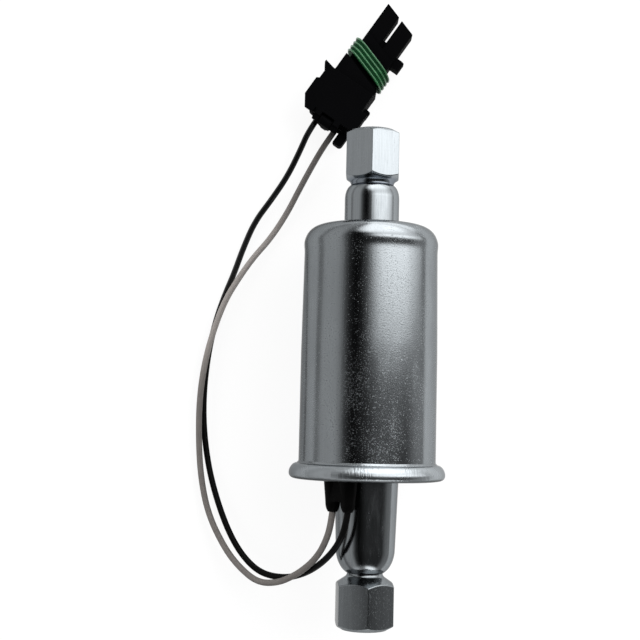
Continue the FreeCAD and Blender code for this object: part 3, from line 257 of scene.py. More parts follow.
class Tree:
    """The node tree of a material or of the world"""

    def __init__(self, owner):
        owner.use_nodes = True
        self.nodes = owner.node_tree.nodes
        self.links = owner.node_tree.links

    def feed(self, socket, value):
        """Links a field to a socket, or sets the socket's own value"""
        if isinstance(value, Field):
            self.links.new(value.socket, socket)
        else:
            socket.default_value = value

    def node(self, kind, settings, inputs, output=0):
        """One node: its settings first, then the values or links of its sockets"""
        node = self.nodes.new(kind)
        for name, value in settings.items():
            setattr(node, name, value)
        for key, value in inputs.items():
            self.feed(node.inputs[key], value)
        return Field(self, node.outputs[output])

    def maths(self, operation, *values):
        """The result of one operation on fields and numbers"""
        return self.node("ShaderNodeMath", {"operation": operation}, dict(enumerate(values)))

    def ramp(self, stops, factor):
        """Grey levels between stops along a factor"""
        ramp = self.node("ShaderNodeValToRGB", {}, {"Fac": factor})
        elements = ramp.socket.node.color_ramp.elements
        for _ in stops[2:]:
            elements.new(0.5)
        for element, (position, level) in zip(elements, stops):
            element.position = position
            element.color = (level, level, level, 1)
        return ramp

    def place(self):
        """Object coordinates"""
        return self.node("ShaderNodeTexCoord", {}, {}, "Object")

    def part(self, vector, axis):
        """One part of a vector, by its letter"""
        return self.node("ShaderNodeSeparateXYZ", {}, {"Vector": vector}, axis)

    def along(self):
        """How far along the pump from its middle, in metres"""
        return self.part(self.place(), "Y")

    def ray(self, kind):
        """1 for rays of one kind and 0 for the others"""
        return self.node("ShaderNodeLightPath", {}, {}, f"Is {kind} Ray")

    def noise(self, size, detail=2.0, stretch=(1, 1, 1)):
        """Cloudy noise whose features are about size metres across, longer by stretch"""
        scale = [1 / (size * length) for length in stretch]
        spot = self.node("ShaderNodeMapping", {}, {"Vector": self.place(), "Scale": scale})
        return self.node("ShaderNodeTexNoise", {},
                         {"Vector": spot, "Scale": 1.0, "Detail": detail})

    def mix(self, factor, first, second):
        """A colour between two"""
        return self.node("ShaderNodeMix", {"data_type": "RGBA"},
                         {0: factor, 6: first, 7: second}, 2)


class Finish(Tree):
    """A material with one shader"""

    def __init__(self, name, metallic=0.0, specular=0.5, coat=0.0):
        self.material = bpy.data.materials.new(name)
        super().__init__(self.material)
        self.shader = self.nodes["Principled BSDF"]
        self.shader.inputs["Metallic"].default_value = metallic
        self.shader.inputs["Specular IOR Level"].default_value = specular
        self.shader.inputs["Coat Weight"].default_value = coat

    def set(self, name, value):
        """Sets or links an input of the shader"""
        self.feed(self.shader.inputs[name], value)

    def edge(self, level):
        """How light a metal gets where it is seen at a slant"""
        self.shader.inputs["Specular Tint"].default_value = (level, level, level, 1)

    def bump(self, height, distance, strength=1.0):
        """Fine relief: distance is what a height of 1 stands for, in metres"""
        self.set("Normal", self.node(
            "ShaderNodeBump", {}, {"Height": height, "Distance": distance, "Strength": strength}))


def tint(colour, factor=1.0):
    """A colour with its alpha, lighter or darker by factor"""
    return tuple(min(1.0, part * factor) for part in colour) + (1.0,)


def zinc_finish():
    """Satin zinc plate on drawn steel: a fine grain, faint draw lines, brushing on the seam, and
    painted shade under the seam's roll
    """
    colour = SCENE.pump_colours.zinc
    finish = Finish("satin_zinc", metallic=1.0)
    finish.edge(0.5)
    along = finish.along()
    seam = along.between(SEAM_TOP_Y + 0.0005, SEAM_TOP_Y - 0.0003)
    # Painted shade: the zinc is darkened along the underside of the rolled seam
    painted_shade_under_seam = along.between(SEAM_TOP_Y - 0.0044, SEAM_TOP_Y - 0.0052)
    cloud = finish.noise(0.007, 3.0, (1, 3, 1)).between(0.3, 0.7)
    grain = finish.noise(0.00042, 3.0)
    dull = (grain + cloud * 0.09).between(0.62, 0.74) * (1.0 - seam)
    drawn = finish.noise(0.0005, 2.0, (1, 50, 1)).between(0.3, 0.7)
    brushed = finish.noise(0.0004, 1.0, (1, 60, 3))
    speck = finish.noise(0.0007, 1.0).between(0.7, 0.76)
    base = finish.mix(cloud * 0.7 + drawn * 0.3, tint(colour, 0.9), tint(colour, 1.08))
    base = finish.mix(seam, base, tint(colour, 1.38))
    # Painted shade under the seam, mixed into the base colour
    base = finish.mix(painted_shade_under_seam, base, tint(colour, 0.4))
    finish.set("Base Color", finish.mix(speck * 0.5, base, tint(colour, 1.6)))
    finish.set("Roughness", 0.14 + cloud * 0.03 + dull * 0.36 + speck * 0.3 + seam * 0.13)
    finish.bump(grain * 0.6 + drawn * 0.1 + seam * brushed * 4.0, 0.00003)
    return finish.material


def turned_finish(name, shade, wear):
    """Zinc plate on a turned bar: rings round the axis, scratches, worn specks and blotches, and a
    bluish painted shade on the outlet's neck under its hexagon
    """
    colour = tint(SCENE.pump_colours.zinc, shade)[:3]
    finish = Finish(name, metallic=1.0)
    finish.edge(0.5)
    along = finish.along()
    flats = along.size().between(0.0732, 0.0738)
    faced = along.size().between(0.0912, 0.0917)
    # Painted shade: the outlet's neck under the hexagon is tinted a dark blue
    painted_neck_shade = along.between(0.0705, 0.0715) * along.between(0.0745, 0.0735)
    painted_shade_colour = (0.07, 0.1, 0.16, 1)
    rings = finish.noise(0.00022, 2.0, (400, 1, 400))
    streak = finish.noise(0.0005, 2.0, (1, 30, 1))
    scratch = finish.noise(0.0004, 2.0, (1, 14, 1)).between(0.6, 0.75)
    speck = finish.noise(0.0004, 2.0, (1, 2, 1)).between(0.5, 0.7) * flats * wear
    blotch = finish.noise(0.0018, 3.0, (1, 6, 1)).between(0.45, 0.75) * (1.0 - flats) * wear
    base = finish.mix(streak.between(0.3, 0.7), tint(colour, 1 - 0.07 * wear),
                      tint(colour, 1 + 0.07 * wear))
    base = finish.mix(speck * 0.5, base, tint(colour, 1.35))
    finish.set("Base Color", finish.mix(painted_neck_shade * 0.35, base, painted_shade_colour))
    finish.set("Roughness", 0.13 + rings * 0.05 + scratch * 0.1 + speck * 0.12 + faced * 0.32
               + blotch * 0.08)
    finish.bump(rings * 0.6 + streak * 0.3 + scratch * 0.1, 0.000007, 0.6)
    return finish.material


def steel_finish(name, colour, roughness, size, stretch):
    """Bare metal with fine marks along one way"""
    finish = Finish(name, metallic=1.0)
    marks = finish.noise(size, 2.0, stretch)
    finish.set("Base Color", finish.mix(marks, tint(colour, 0.85), tint(colour, 1.1)))
    finish.set("Roughness", roughness + marks * 0.12)
    finish.bump(marks, 0.000006, 0.5)
    return finish.material


def rubber_finish(name, colour, roughness=0.5, specular=0.2):
    """Rubber with a fine grain and faint dust"""
    finish = Finish(name, specular=specular)
    dust = finish.noise(0.004, 3.0)
    grain = finish.noise(0.0006)
    finish.set("Base Color", finish.mix(dust.between(0.4, 0.8), tint(colour), tint(colour, 1.5)))
    finish.set("Roughness", roughness + grain * 0.2)
    finish.bump(grain, 0.00003, 0.4)
    return finish.material


def plastic_finish(name, colour, roughness, specular=0.3):
    """Moulded plastic with a spark-eroded grain"""
    finish = Finish(name, specular=specular)
    grain = finish.noise(0.0003)
    flow = finish.noise(0.012)
    finish.set("Base Color", finish.mix(flow, tint(colour, 0.9), tint(colour, 1.25)))
    finish.set("Roughness", roughness + grain * 0.1)
    finish.bump(grain, 0.00001, 0.35)
    return finish.material


def insulation_finish(name, colour, roughness, specular, polish):
    """Extruded insulation: lighter part way along, glossy from there on and darker towards the plug
    """
    finish = Finish(name, specular=specular)
    dust = finish.noise(0.003, 3.0)
    marks = finish.noise(0.0008)
    along = finish.along()
    # Lighter part way along the lead and darker towards the plug
    lighter_midway = along.between(-0.01, 0.02) * along.between(0.075, 0.05)
    darker_at_plug = along.between(0.078, 0.1)
    base = finish.mix(dust, tint(colour, 0.85), tint(colour, 1.2))
    base = finish.mix(lighter_midway, base, tint(colour, 1.9))
    finish.set("Base Color", finish.mix(darker_at_plug, base, tint(colour, 0.3)))
    finish.set("Roughness", roughness + marks * 0.15)
    finish.set("Coat Weight", along.between(0.015, 0.04) * polish)
    finish.set("Coat Roughness", 0.1)
    finish.bump(marks * 0.5 + dust * 0.5, 0.00004, 0.3)
    return finish.material


def winding_finish():
    """Enamelled copper wire, laid turn by turn along the spool"""
    wire = 0.0004
    finish = Finish("enamelled_copper", metallic=1.0)
    turns = finish.maths("PINGPONG", finish.along() * (1 / wire), 0.5) * 2
    finish.set("Base Color", finish.mix(turns, (0.25, 0.06, 0.02, 1), (0.75, 0.28, 0.12, 1)))
    finish.set("Roughness", 0.3 + turns * 0.1)
    finish.bump(turns, 0.0001, 0.8)
    return finish.material


def board_finish():
    """Lacquered board with darker tracks"""
    finish = Finish("green_lacquer", coat=0.3)
    tracks = finish.noise(0.003, 0.0).between(0.5, 0.52)
    finish.set("Base Color", finish.mix(tracks, (0.02, 0.12, 0.05, 1), (0.03, 0.2, 0.08, 1)))
    finish.set("Roughness", 0.35 + tracks * 0.1)
    finish.bump(tracks, 0.00003, 0.5)
    return finish.material


def floor_finish():
    """A pale floor: white to the camera, and as mirrored a little darker far out and, by painted
    shade, on the left
    """
    floor = SCENE.pump_stage.floor
    finish = Finish("pale_floor", specular=0.0)
    spot = finish.place()
    east = finish.part(spot, "X") - FLOOR_MIDDLE[0]
    north = finish.part(spot, "Y") - FLOOR_MIDDLE[1]
    far = finish.maths("SQRT", east * east + north * north)
    camera, glossy, through = (finish.ray(kind) for kind in ("Camera", "Glossy", "Transmission"))
    sides = far.between(0.195, 0.23) * north.between(0.19, 0.05) * (1.0 - camera)
    finish.set("Base Color", finish.mix(sides, tint(floor), tint(floor, 0.3)))
    finish.set("Roughness", 0.9)
    pale = finish.mix(sides, (1, 1, 1, 1), (0.3, 0.3, 0.3, 1))
    # Painted shade: mirrored rays see the floor left of the pump darker, as if it lay in the pump's
    # shadow
    painted_left_shade = glossy * east.between(0.01, -0.03) * 0.45
    pale = finish.mix(painted_left_shade, pale, (0, 0, 0, 1))
    white = finish.node("ShaderNodeEmission", {}, {"Color": pale, "Strength": 1.0})
    lit = Field(finish, finish.shader.outputs[0])
    seen = finish.node("ShaderNodeMath", {"operation": "ADD", "use_clamp": True},
                       {0: camera + glossy, 1: through})
    both = finish.node("ShaderNodeMixShader", {}, {0: seen * 0.9, 1: lit, 2: white})
    finish.feed(finish.nodes["Material Output"].inputs["Surface"], both)
    return finish.material


def studio_world():
    """A studio that is white to the camera: dark walls and one bright panel to all the rest"""
    world = bpy.data.worlds.new("studio")
    tree = Tree(world)
    way = tree.node("ShaderNodeTexCoord", {}, {}, "Generated")
    across, along, above = (tree.part(way, axis) for axis in "XYZ")
    swing = tree.maths("ARCTAN2", across, above)
    share = swing / TURN + 0.5

    def stop(degrees):
        return degrees / 360 + 0.5

    def round_ramp(stops, factor):
        return tree.ramp([(stop(angle), level) for angle, level in stops], factor)

    walls = round_ramp(WALL_STOPS, share)
    lean = along.between(0.35, 0.75) * share.between(stop(60), stop(0)) * (PANEL_LEAN_DEG / 360)
    panel = round_ramp(PANEL_STOPS, share + lean)
    off = swing - math.radians(PANEL_MIDDLE_DEG)
    reach = along - off * off * 0.04
    fade = tree.ramp(FADE_STOPS, (reach - FADE_START) / FADE_LENGTH)
    north_end = along.between(0.5, 0.85)
    south_end = along.between(-0.8, -0.9) * (0.4 + panel * 2.5)
    dip = along.between(0.24, 0.4) * (1.0 - north_end) * 0.35
    studio = walls + panel * fade * (1.0 - dip) * SCENE.pump_stage.key
    horizon = above.between(0.02, -0.02) * across.between(-0.1, 0.05) * 1.8
    level = (studio * (1.0 - north_end) + south_end
             + north_end * (walls * 0.7 + panel * 2.8 + horizon + 0.1))
    camera = tree.ray("Camera")
    tree.feed(tree.nodes["Background"].inputs["Color"], level * (1.0 - camera) + camera)
    return world


# Meshes

def on_axis(station, x, up):
    """A point beside the axis at a station, in millimetres, as metres in the shared frame"""
    return Vector((x, station - HALF_LENGTH, AXIS_HEIGHT + up)) * MM


def on_plug(point):
    """A point in the plug's own frame, in millimetres, as metres in the shared frame"""
    turned = Matrix.Rotation(PLUG_BEARING, 3, "Z") @ Vector(point)
    return (PLUG_REAR + turned) * MM


def finished(name, mesh, material, body, *nodes):
    """A piece at the origin with one material that rides on a body and stands for its nodes"""
    piece = bpy.data.objects.new(name, mesh)
    SCENE.collection.objects.link(piece)
    mesh.materials.clear()
    mesh.materials.append(material)
    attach(piece, body)
    if nodes:
        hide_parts(*nodes)
    return piece


def shaded(mesh, sharp_deg):
    """Smooth shading with sharp edges past an angle"""
    mesh.polygons.foreach_set("use_smooth", [True] * len(mesh.polygons))
    mesh.set_sharp_from_angle(angle=math.radians(sharp_deg))
    mesh.update()
    return mesh


def weighted(piece):
    """Keeps wide faces flat in smooth shading"""
    modifier = piece.modifiers.new("Even faces", "WEIGHTED_NORMAL")
    modifier.keep_sharp = True
    modifier.weight = 70


def round_columns(count):
    """Unit directions round the axis"""
    return [(math.cos(TURN * k / count), math.sin(TURN * k / count)) for k in range(count)]


def hexagon_columns(across_flats, turn_deg, corner, bow):
    """Points round a hexagon with rounded corners and flats that bow out, closer at the corners"""
    inner = (across_flats / 2 - corner) / math.cos(math.radians(30))

    def rounding(side, swing_deg):
        bearing = math.radians(90 - turn_deg + 60 * side)
        swing = bearing + math.radians(swing_deg)
        return (inner * math.cos(bearing) + corner * math.cos(swing),
                inner * math.sin(bearing) + corner * math.sin(swing))

    points = []
    for side in range(6):
        points += [rounding(side, -30 + 10 * k) for k in range(7)]
        start, end = points[-1], rounding(side + 1, -30)
        outward = math.radians(90 - turn_deg + 60 * side + 30)
        for k in range(1, 14):
            share = k / 14
            rise = bow * 4 * share * (1 - share)
            points.append((start[0] + (end[0] - start[0]) * share + rise * math.cos(outward),
                           start[1] + (end[1] - start[1]) * share + rise * math.sin(outward)))
    return points


def hexagon_rows(face, inward, circle, chamfer_deg):
    """Rows from a hexagon's chamfer on to its flats. inward is 1 or -1 along the axis."""
    slope = math.tan(math.radians(chamfer_deg)) * inward

    def turned_edge(shrink, shift):
        def row(column):
            reach = math.hypot(*column)
            scale = (reach - shrink) / reach
            station = face + (reach - circle - shrink) * slope + shift * inward
            return station, column[0] * scale, column[1] * scale
        return row

    return [turned_edge(HEXAGON_EASE * shrink, HEXAGON_EASE * shift)
            for shrink, shift in ((1, 0), (0.45, 0.12), (0.12, 0.4), (0, 1))]


def mouth_rows(face, inward):
    """Rows from a port's mouth over the end face on to the hexagon's flats"""
    rows = eased([(face + PORT_LEAD * inward, PORT_RADIUS, 0.1),
                  (face, PORT_RADIUS + PORT_LEAD, 0.1), (face, FACE_RADIUS, 0.12)])
    return rows + hexagon_rows(face, inward, FACE_RADIUS, 30)


def eased(profile):
    """Rounds the corners of a closed outline of (station, radius, ease) points"""
    rows = []
    for k, (station, radius, ease) in enumerate(profile):
        if ease == 0:
            rows.append((station, radius))
            continue
        here = Vector((station, radius))
        before = Vector(profile[k - 1][:2]) - here
        after = Vector(profile[(k + 1) % len(profile)][:2]) - here
        start = here + before.normalized() * ease
        end = here + after.normalized() * ease
        for share in (0, 0.25, 0.5, 0.75, 1):
            point = start.lerp(here, share).lerp(here.lerp(end, share), share)
            rows.append((point.x, point.y))
    return rows


def arc_rows(station, radius, bend, start_deg, end_deg, count, skew=0.0):
    """Rows along an arc about a profile point, its start left out. skew leans its crest."""
    rows = []
    for k in range(1, count + 1):
        swing = math.radians(start_deg + (end_deg - start_deg) * k / count)
        lean = skew * math.sin(swing) ** 2
        rows.append((station + bend * (math.cos(swing) - lean), radius + bend * math.sin(swing)))
    return rows


def swept_points(start, start_deg, end, end_deg, count):
    """Points between two profile points, ends left out, with a slope at each end"""
    start, end = Vector(start), Vector(end)
    reach = (end - start).length
    first, last = (Vector((math.cos(math.radians(turn)), math.sin(math.radians(turn)))) * reach
                   for turn in (start_deg, end_deg))
    points = []
    for k in range(1, count):
        t = k / count
        points.append(tuple(
            start * (2 * t ** 3 - 3 * t ** 2 + 1) + first * (t ** 3 - 2 * t ** 2 + t)
            + end * (3 * t ** 2 - 2 * t ** 3) + last * (t ** 3 - t ** 2)))
    return points


def swelled(station, radius):
    """A row of the can's wall with the slight swell below the shoulder"""
    away = (station - SWELL_STATION) / SWELL_WIDTH
    return station, radius + SWELL * math.exp(-away ** 2)


def mesh_data(name, mesh):
    """The data of a bmesh, which is freed"""
    data = bpy.data.meshes.new(name)
    mesh.to_mesh(data)
    mesh.free()
    return data


def skin(name, rings, sharp_deg):
    """A closed skin over rings of points, with the last ring joined to the first"""
    mesh = bmesh.new()
    grid = [[mesh.verts.new(point) for point in ring] for ring in rings]
    for ring, following in zip(grid, grid[1:] + grid[:1]):
        for j, vertex in enumerate(ring):
            after = (j + 1) % len(ring)
            mesh.faces.new((vertex, following[j], following[after], ring[after]))
    bmesh.ops.recalc_face_normals(mesh, faces=mesh.faces)
    return shaded(mesh_data(name, mesh), sharp_deg)


def lathe(name, rows, columns):
    """A skin of rows round the axis. A row is (station, radius), or a function of a column."""
    def point(row, column):
        if callable(row):
            return on_axis(*row(column))
        station, radius = row
        reach = math.hypot(*column)
        return on_axis(station, column[0] * radius / reach, column[1] * radius / reach)

    return skin(name, [[point(row, column) for column in columns] for row in rows], 32)


def rounded_outline(width, thickness, corner):
    """Points round a rectangle with rounded corners"""
    points = []
    for quarter, (y, z) in enumerate(((1, 1), (-1, 1), (-1, -1), (1, -1))):
        for k in range(9):
            swing = math.radians(90 * quarter + 90 * k / 8)
            points.append((y * (width / 2 - corner) + corner * math.cos(swing),
                           z * (thickness / 2 - corner) + corner * math.sin(swing)))
    return points


def slanted_ring(name, low, high, outer, inner):
    """A ring round the plug between two slanted planes, with the sections outer and inner"""
    rings = [[on_plug((x + y * math.tan(SLANT), y, z)) for y, z in rounded_outline(*section)]
             for x, section in ((low, outer), (high, outer), (high, inner), (low, inner))]
    return skin(name, rings, 40)


def cad_copy(node, dissolve_deg=None):
    """A merged copy of a CAD node's mesh, its flat faces joined if asked"""
    mesh = bmesh.new()
    mesh.from_mesh(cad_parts[node].data)
    bmesh.ops.remove_doubles(mesh, verts=mesh.verts, dist=0.000002)
    if dissolve_deg:
        bmesh.ops.dissolve_limit(mesh, angle_limit=math.radians(dissolve_deg), verts=mesh.verts,
                                 edges=mesh.edges)
    return mesh_data(node + "_copy", mesh)


def geometry_node(tree, kind, settings, inputs):
    """One geometry node with its settings and its sockets' values or links"""
    node = tree.nodes.new("GeometryNode" + kind if not kind.startswith("Shader") else kind)
    for name, value in settings.items():
        setattr(node, name, value)
    for key, value in inputs.items():
        if isinstance(value, bpy.types.NodeSocket):
            tree.links.new(value, node.inputs[key])
        else:
            node.inputs[key].default_value = value
    return node


def node_mesh(name, material, values, fill):
    """The plain mesh that a Geometry Nodes tree makes

    values become the tree's inputs. fill adds the nodes and returns the last one.
    """
    tree = bpy.data.node_groups.new(name, "GeometryNodeTree")
    tree.interface.new_socket("Geometry", in_out="OUTPUT", socket_type="NodeSocketGeometry")
    for label, value in values.items():
        kind = "NodeSocketInt" if isinstance(value, int) else "NodeSocketFloat"
        tree.interface.new_socket(label, in_out="INPUT", socket_type=kind)
    last = fill(tree, tree.nodes.new("NodeGroupInput").outputs)
    real = geometry_node(tree, "RealizeInstances", {}, {0: last.outputs[0]})
    painted = geometry_node(tree, "SetMaterial", {},
                            {"Geometry": real.outputs[0], "Material": material})
    tree.links.new(painted.outputs[0], tree.nodes.new("NodeGroupOutput").inputs[0])
    holder = bpy.data.objects.new(name, bpy.data.meshes.new(name))
    SCENE.collection.objects.link(holder)
    modifier = holder.modifiers.new(name, "NODES")
    modifier.node_group = tree
    for item in tree.interface.items_tree:
        if item.in_out == "INPUT":
            modifier[item.identifier] = values[item.name]
    bpy.context.view_layer.update()
    graph = bpy.context.evaluated_depsgraph_get()
    mesh = bpy.data.meshes.new_from_object(holder.evaluated_get(graph))
    holder.modifiers.remove(modifier)
    bpy.data.objects.remove(holder)
    if not mesh.polygons:
        raise RuntimeError(name + " made no faces")
    return mesh


def thread_mesh(name, material, low, high, pitch, radius, depth):
    """A helical thread about the pump's axis between two places along Y, in metres"""
    def fill(tree, given):
        turns = geometry_node(tree, "ShaderNodeMath", {"operation": "DIVIDE"},
                              {0: given["Length"], 1: given["Pitch"]})
        helix = geometry_node(tree, "CurveSpiral", {}, {
            "Resolution": 48, "Rotations": turns.outputs[0], "Start Radius": given["Radius"],
            "End Radius": given["Radius"], "Height": given["Length"]})
        crest = geometry_node(tree, "CurvePrimitiveCircle", {"mode": "RADIUS"},
                              {"Resolution": 3, "Radius": given["Depth"]})
        swept = geometry_node(tree, "CurveToMesh", {}, {
            "Curve": helix.outputs[0], "Profile Curve": crest.outputs[0], "Fill Caps": True})
        spot = geometry_node(tree, "ShaderNodeCombineXYZ", {},
                             {"Y": given["Start"], "Z": AXIS_HEIGHT * MM})
        return geometry_node(tree, "Transform", {}, {
            "Geometry": swept.outputs[0], "Translation": spot.outputs[0],
            "Rotation": (-math.pi / 2, 0, 0)})

    values = {"Pitch": pitch, "Radius": radius, "Depth": depth, "Length": high - low,
              "Start": low}
    return shaded(node_mesh(name, material, values, fill), 40)


def rib_mesh(name, material, count, first, pitch, width, thickness, section):
    """Rounded ribs round the plug's seal, each in a slanted plane, in metres"""
    def fill(tree, given):
        loop = geometry_node(tree, "CurvePrimitiveQuadrilateral", {},
                             {"Width": given["Width"], "Height": given["Thickness"]})
        soft = geometry_node(tree, "FilletCurve", {"mode": "POLY"}, {
            "Curve": loop.outputs[0], "Radius": given["Corner"], "Count": 10})
        disc = geometry_node(tree, "CurvePrimitiveCircle", {"mode": "RADIUS"},
                             {"Resolution": 14, "Radius": given["Section"]})
        rib = geometry_node(tree, "CurveToMesh", {},
                            {"Curve": soft.outputs[0], "Profile Curve": disc.outputs[0]})
        stood = geometry_node(tree, "Transform", {}, {
            "Geometry": rib.outputs[0], "Rotation": (math.pi / 2, 0, math.pi / 2 - SLANT)})
        step = geometry_node(tree, "ShaderNodeCombineXYZ", {}, {"X": given["Pitch"]})
        row = geometry_node(tree, "MeshLine", {"mode": "OFFSET"}, {
            "Count": given["Ribs"], "Start Location": (first, 0, 0), "Offset": step.outputs[0]})
        many = geometry_node(tree, "InstanceOnPoints", {},
                             {"Points": row.outputs[0], "Instance": stood.outputs[0]})
        return geometry_node(tree, "Transform", {}, {
            "Geometry": many.outputs[0], "Translation": PLUG_REAR * MM,
            "Rotation": (0, 0, PLUG_BEARING)})

    values = {"Ribs": count, "Pitch": pitch, "Width": width, "Thickness": thickness,
              "Section": section, "Corner": SEAL_CORNER * MM}
    return shaded(node_mesh(name, material, values, fill), 60)


def lead_curve(name, route, material):
    """A lead along its route, as a smooth tube"""
    curve = bpy.data.curves.new(name, "CURVE")
    curve.dimensions = "3D"
    curve.resolution_u = 16
    curve.bevel_depth = LEAD_DIAMETER / 2 * MM
    curve.bevel_resolution = 6
    spline = curve.splines.new("NURBS")
    spline.points.add(len(route) - 1)
    for point, spot in zip(spline.points, route):
        point.co = (*spot, 1.0)
    spline.order_u = 3
    spline.use_endpoint_u = True
    curve.materials.append(material)
    piece = bpy.data.objects.new(name, curve)
    SCENE.collection.objects.link(piece)
    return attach(piece, "pump")


# Operators, one for each piece or group of like pieces

class PUMP_OT_camera(bpy.types.Operator):
    """Sets the camera above the pump"""
    bl_idname = "pump.make_camera"
    bl_label = "Camera"

    def execute(self, context):
        camera = bpy.data.objects.new("camera", bpy.data.cameras.new("camera"))
        SCENE.collection.objects.link(camera)
        camera.data.angle = SCENE.pump_stage.angle
        camera.data.clip_start = 0.01
        ahead = Vector(CAMERA_AHEAD).normalized()
        right = ahead.cross(Vector(CAMERA_UP).normalized()).normalized()
        up = right.cross(ahead)
        turn = Matrix((right, up, -ahead)).transposed().to_4x4()
        camera.matrix_world = Matrix.Translation(CAMERA_SPOT) @ turn
        SCENE.camera = camera
        return {"FINISHED"}


class PUMP_OT_leads(bpy.types.Operator):
    """Makes the grey and the black lead"""
    bl_idname = "pump.make_leads"
    bl_label = "Leads"

    def execute(self, context):
        colours = SCENE.pump_colours
        grey = lead_curve("grey_wire", GREY_ROUTE, insulation_finish(
            "grey_insulation", colours.grey, roughness=0.42, specular=0.15, polish=0.4))
        black = lead_curve("black_wire", BLACK_ROUTE, insulation_finish(
            "black_insulation", colours.black, roughness=0.2, specular=0.04, polish=1.0))
        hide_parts("grey_lead")
        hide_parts("black_lead")
        return {"FINISHED"}


class PUMP_OT_can(bpy.types.Operator):
    """Makes the drawn can with its rolled seam"""
    bl_idname = "pump.make_can"
    bl_label = "Can"

    def execute(self, context):
        radius = SCENE.pump_sizes.can_radius / MM
        inside = radius - CAN_WALL
        shoulder = CAN_TOP - SHOULDER_RADIUS
        centre = CAN_TOP_RADIUS - SHOULDER_RADIUS
        bead = (SEAM_HIGH - SEAM_LOW) / 2
        wall = [shoulder - 0.25 * k for k in range(1, 32)]
        wall += [wall[-1] + (CLAMP_BAND_HIGH - wall[-1]) * k / 8 for k in range(1, 9)]
        taper = (radius - CAN_TOP_RADIUS) / (shoulder - CLAMP_BAND_HIGH)
        rows = arc_rows(shoulder, centre, SHOULDER_RADIUS, 0, 90, 32)
        rows += [(station, CAN_TOP_RADIUS + taper * (shoulder - station)) for station in wall]
        crown = [(CAN_TOP, reach) for reach in (CAN_HOLE_RADIUS, 9.1, 14.0, centre)]
        rows = crown + [swelled(*row) for row in rows]
        rows += [(station, radius) for station in (90.0, 75.0, SEAM_HIGH + FOOT_RADIUS)]
        rows += arc_rows(SEAM_HIGH + FOOT_RADIUS, radius + FOOT_RADIUS, FOOT_RADIUS, -180, -90, 6)
        rows += [(SEAM_HIGH, SEAM_RADIUS - bead)]
        rows += arc_rows(SEAM_LOW + bead, SEAM_RADIUS - bead, bead, 0, 180, 18, SEAM_SKEW)
        rows += eased([(SEAM_LOW, SEAM_LIP_RADIUS, 0.35), (PLATE_LOW, SEAM_LIP_RADIUS, 0.2),
                       (PLATE_LOW, PLATE_RADIUS, 0), (PLATE_HIGH, PLATE_RADIUS, 0),
                       (PLATE_HIGH, inside, 0), (CLAMP_BAND_HIGH, inside, 0),
                       (shoulder, CAN_TOP_RADIUS - CAN_WALL, 0), (CAN_TOP - CAN_WALL, centre, 0),
                       (CAN_TOP - CAN_WALL, CAN_HOLE_RADIUS, 0),
                       (CAN_TOP, CAN_HOLE_RADIUS, 0)])[:-1]
        mesh = lathe("can_shell", rows, round_columns(256))
        finished("can_shell", mesh, zinc_finish(), "pump", "can")
        return {"FINISHED"}


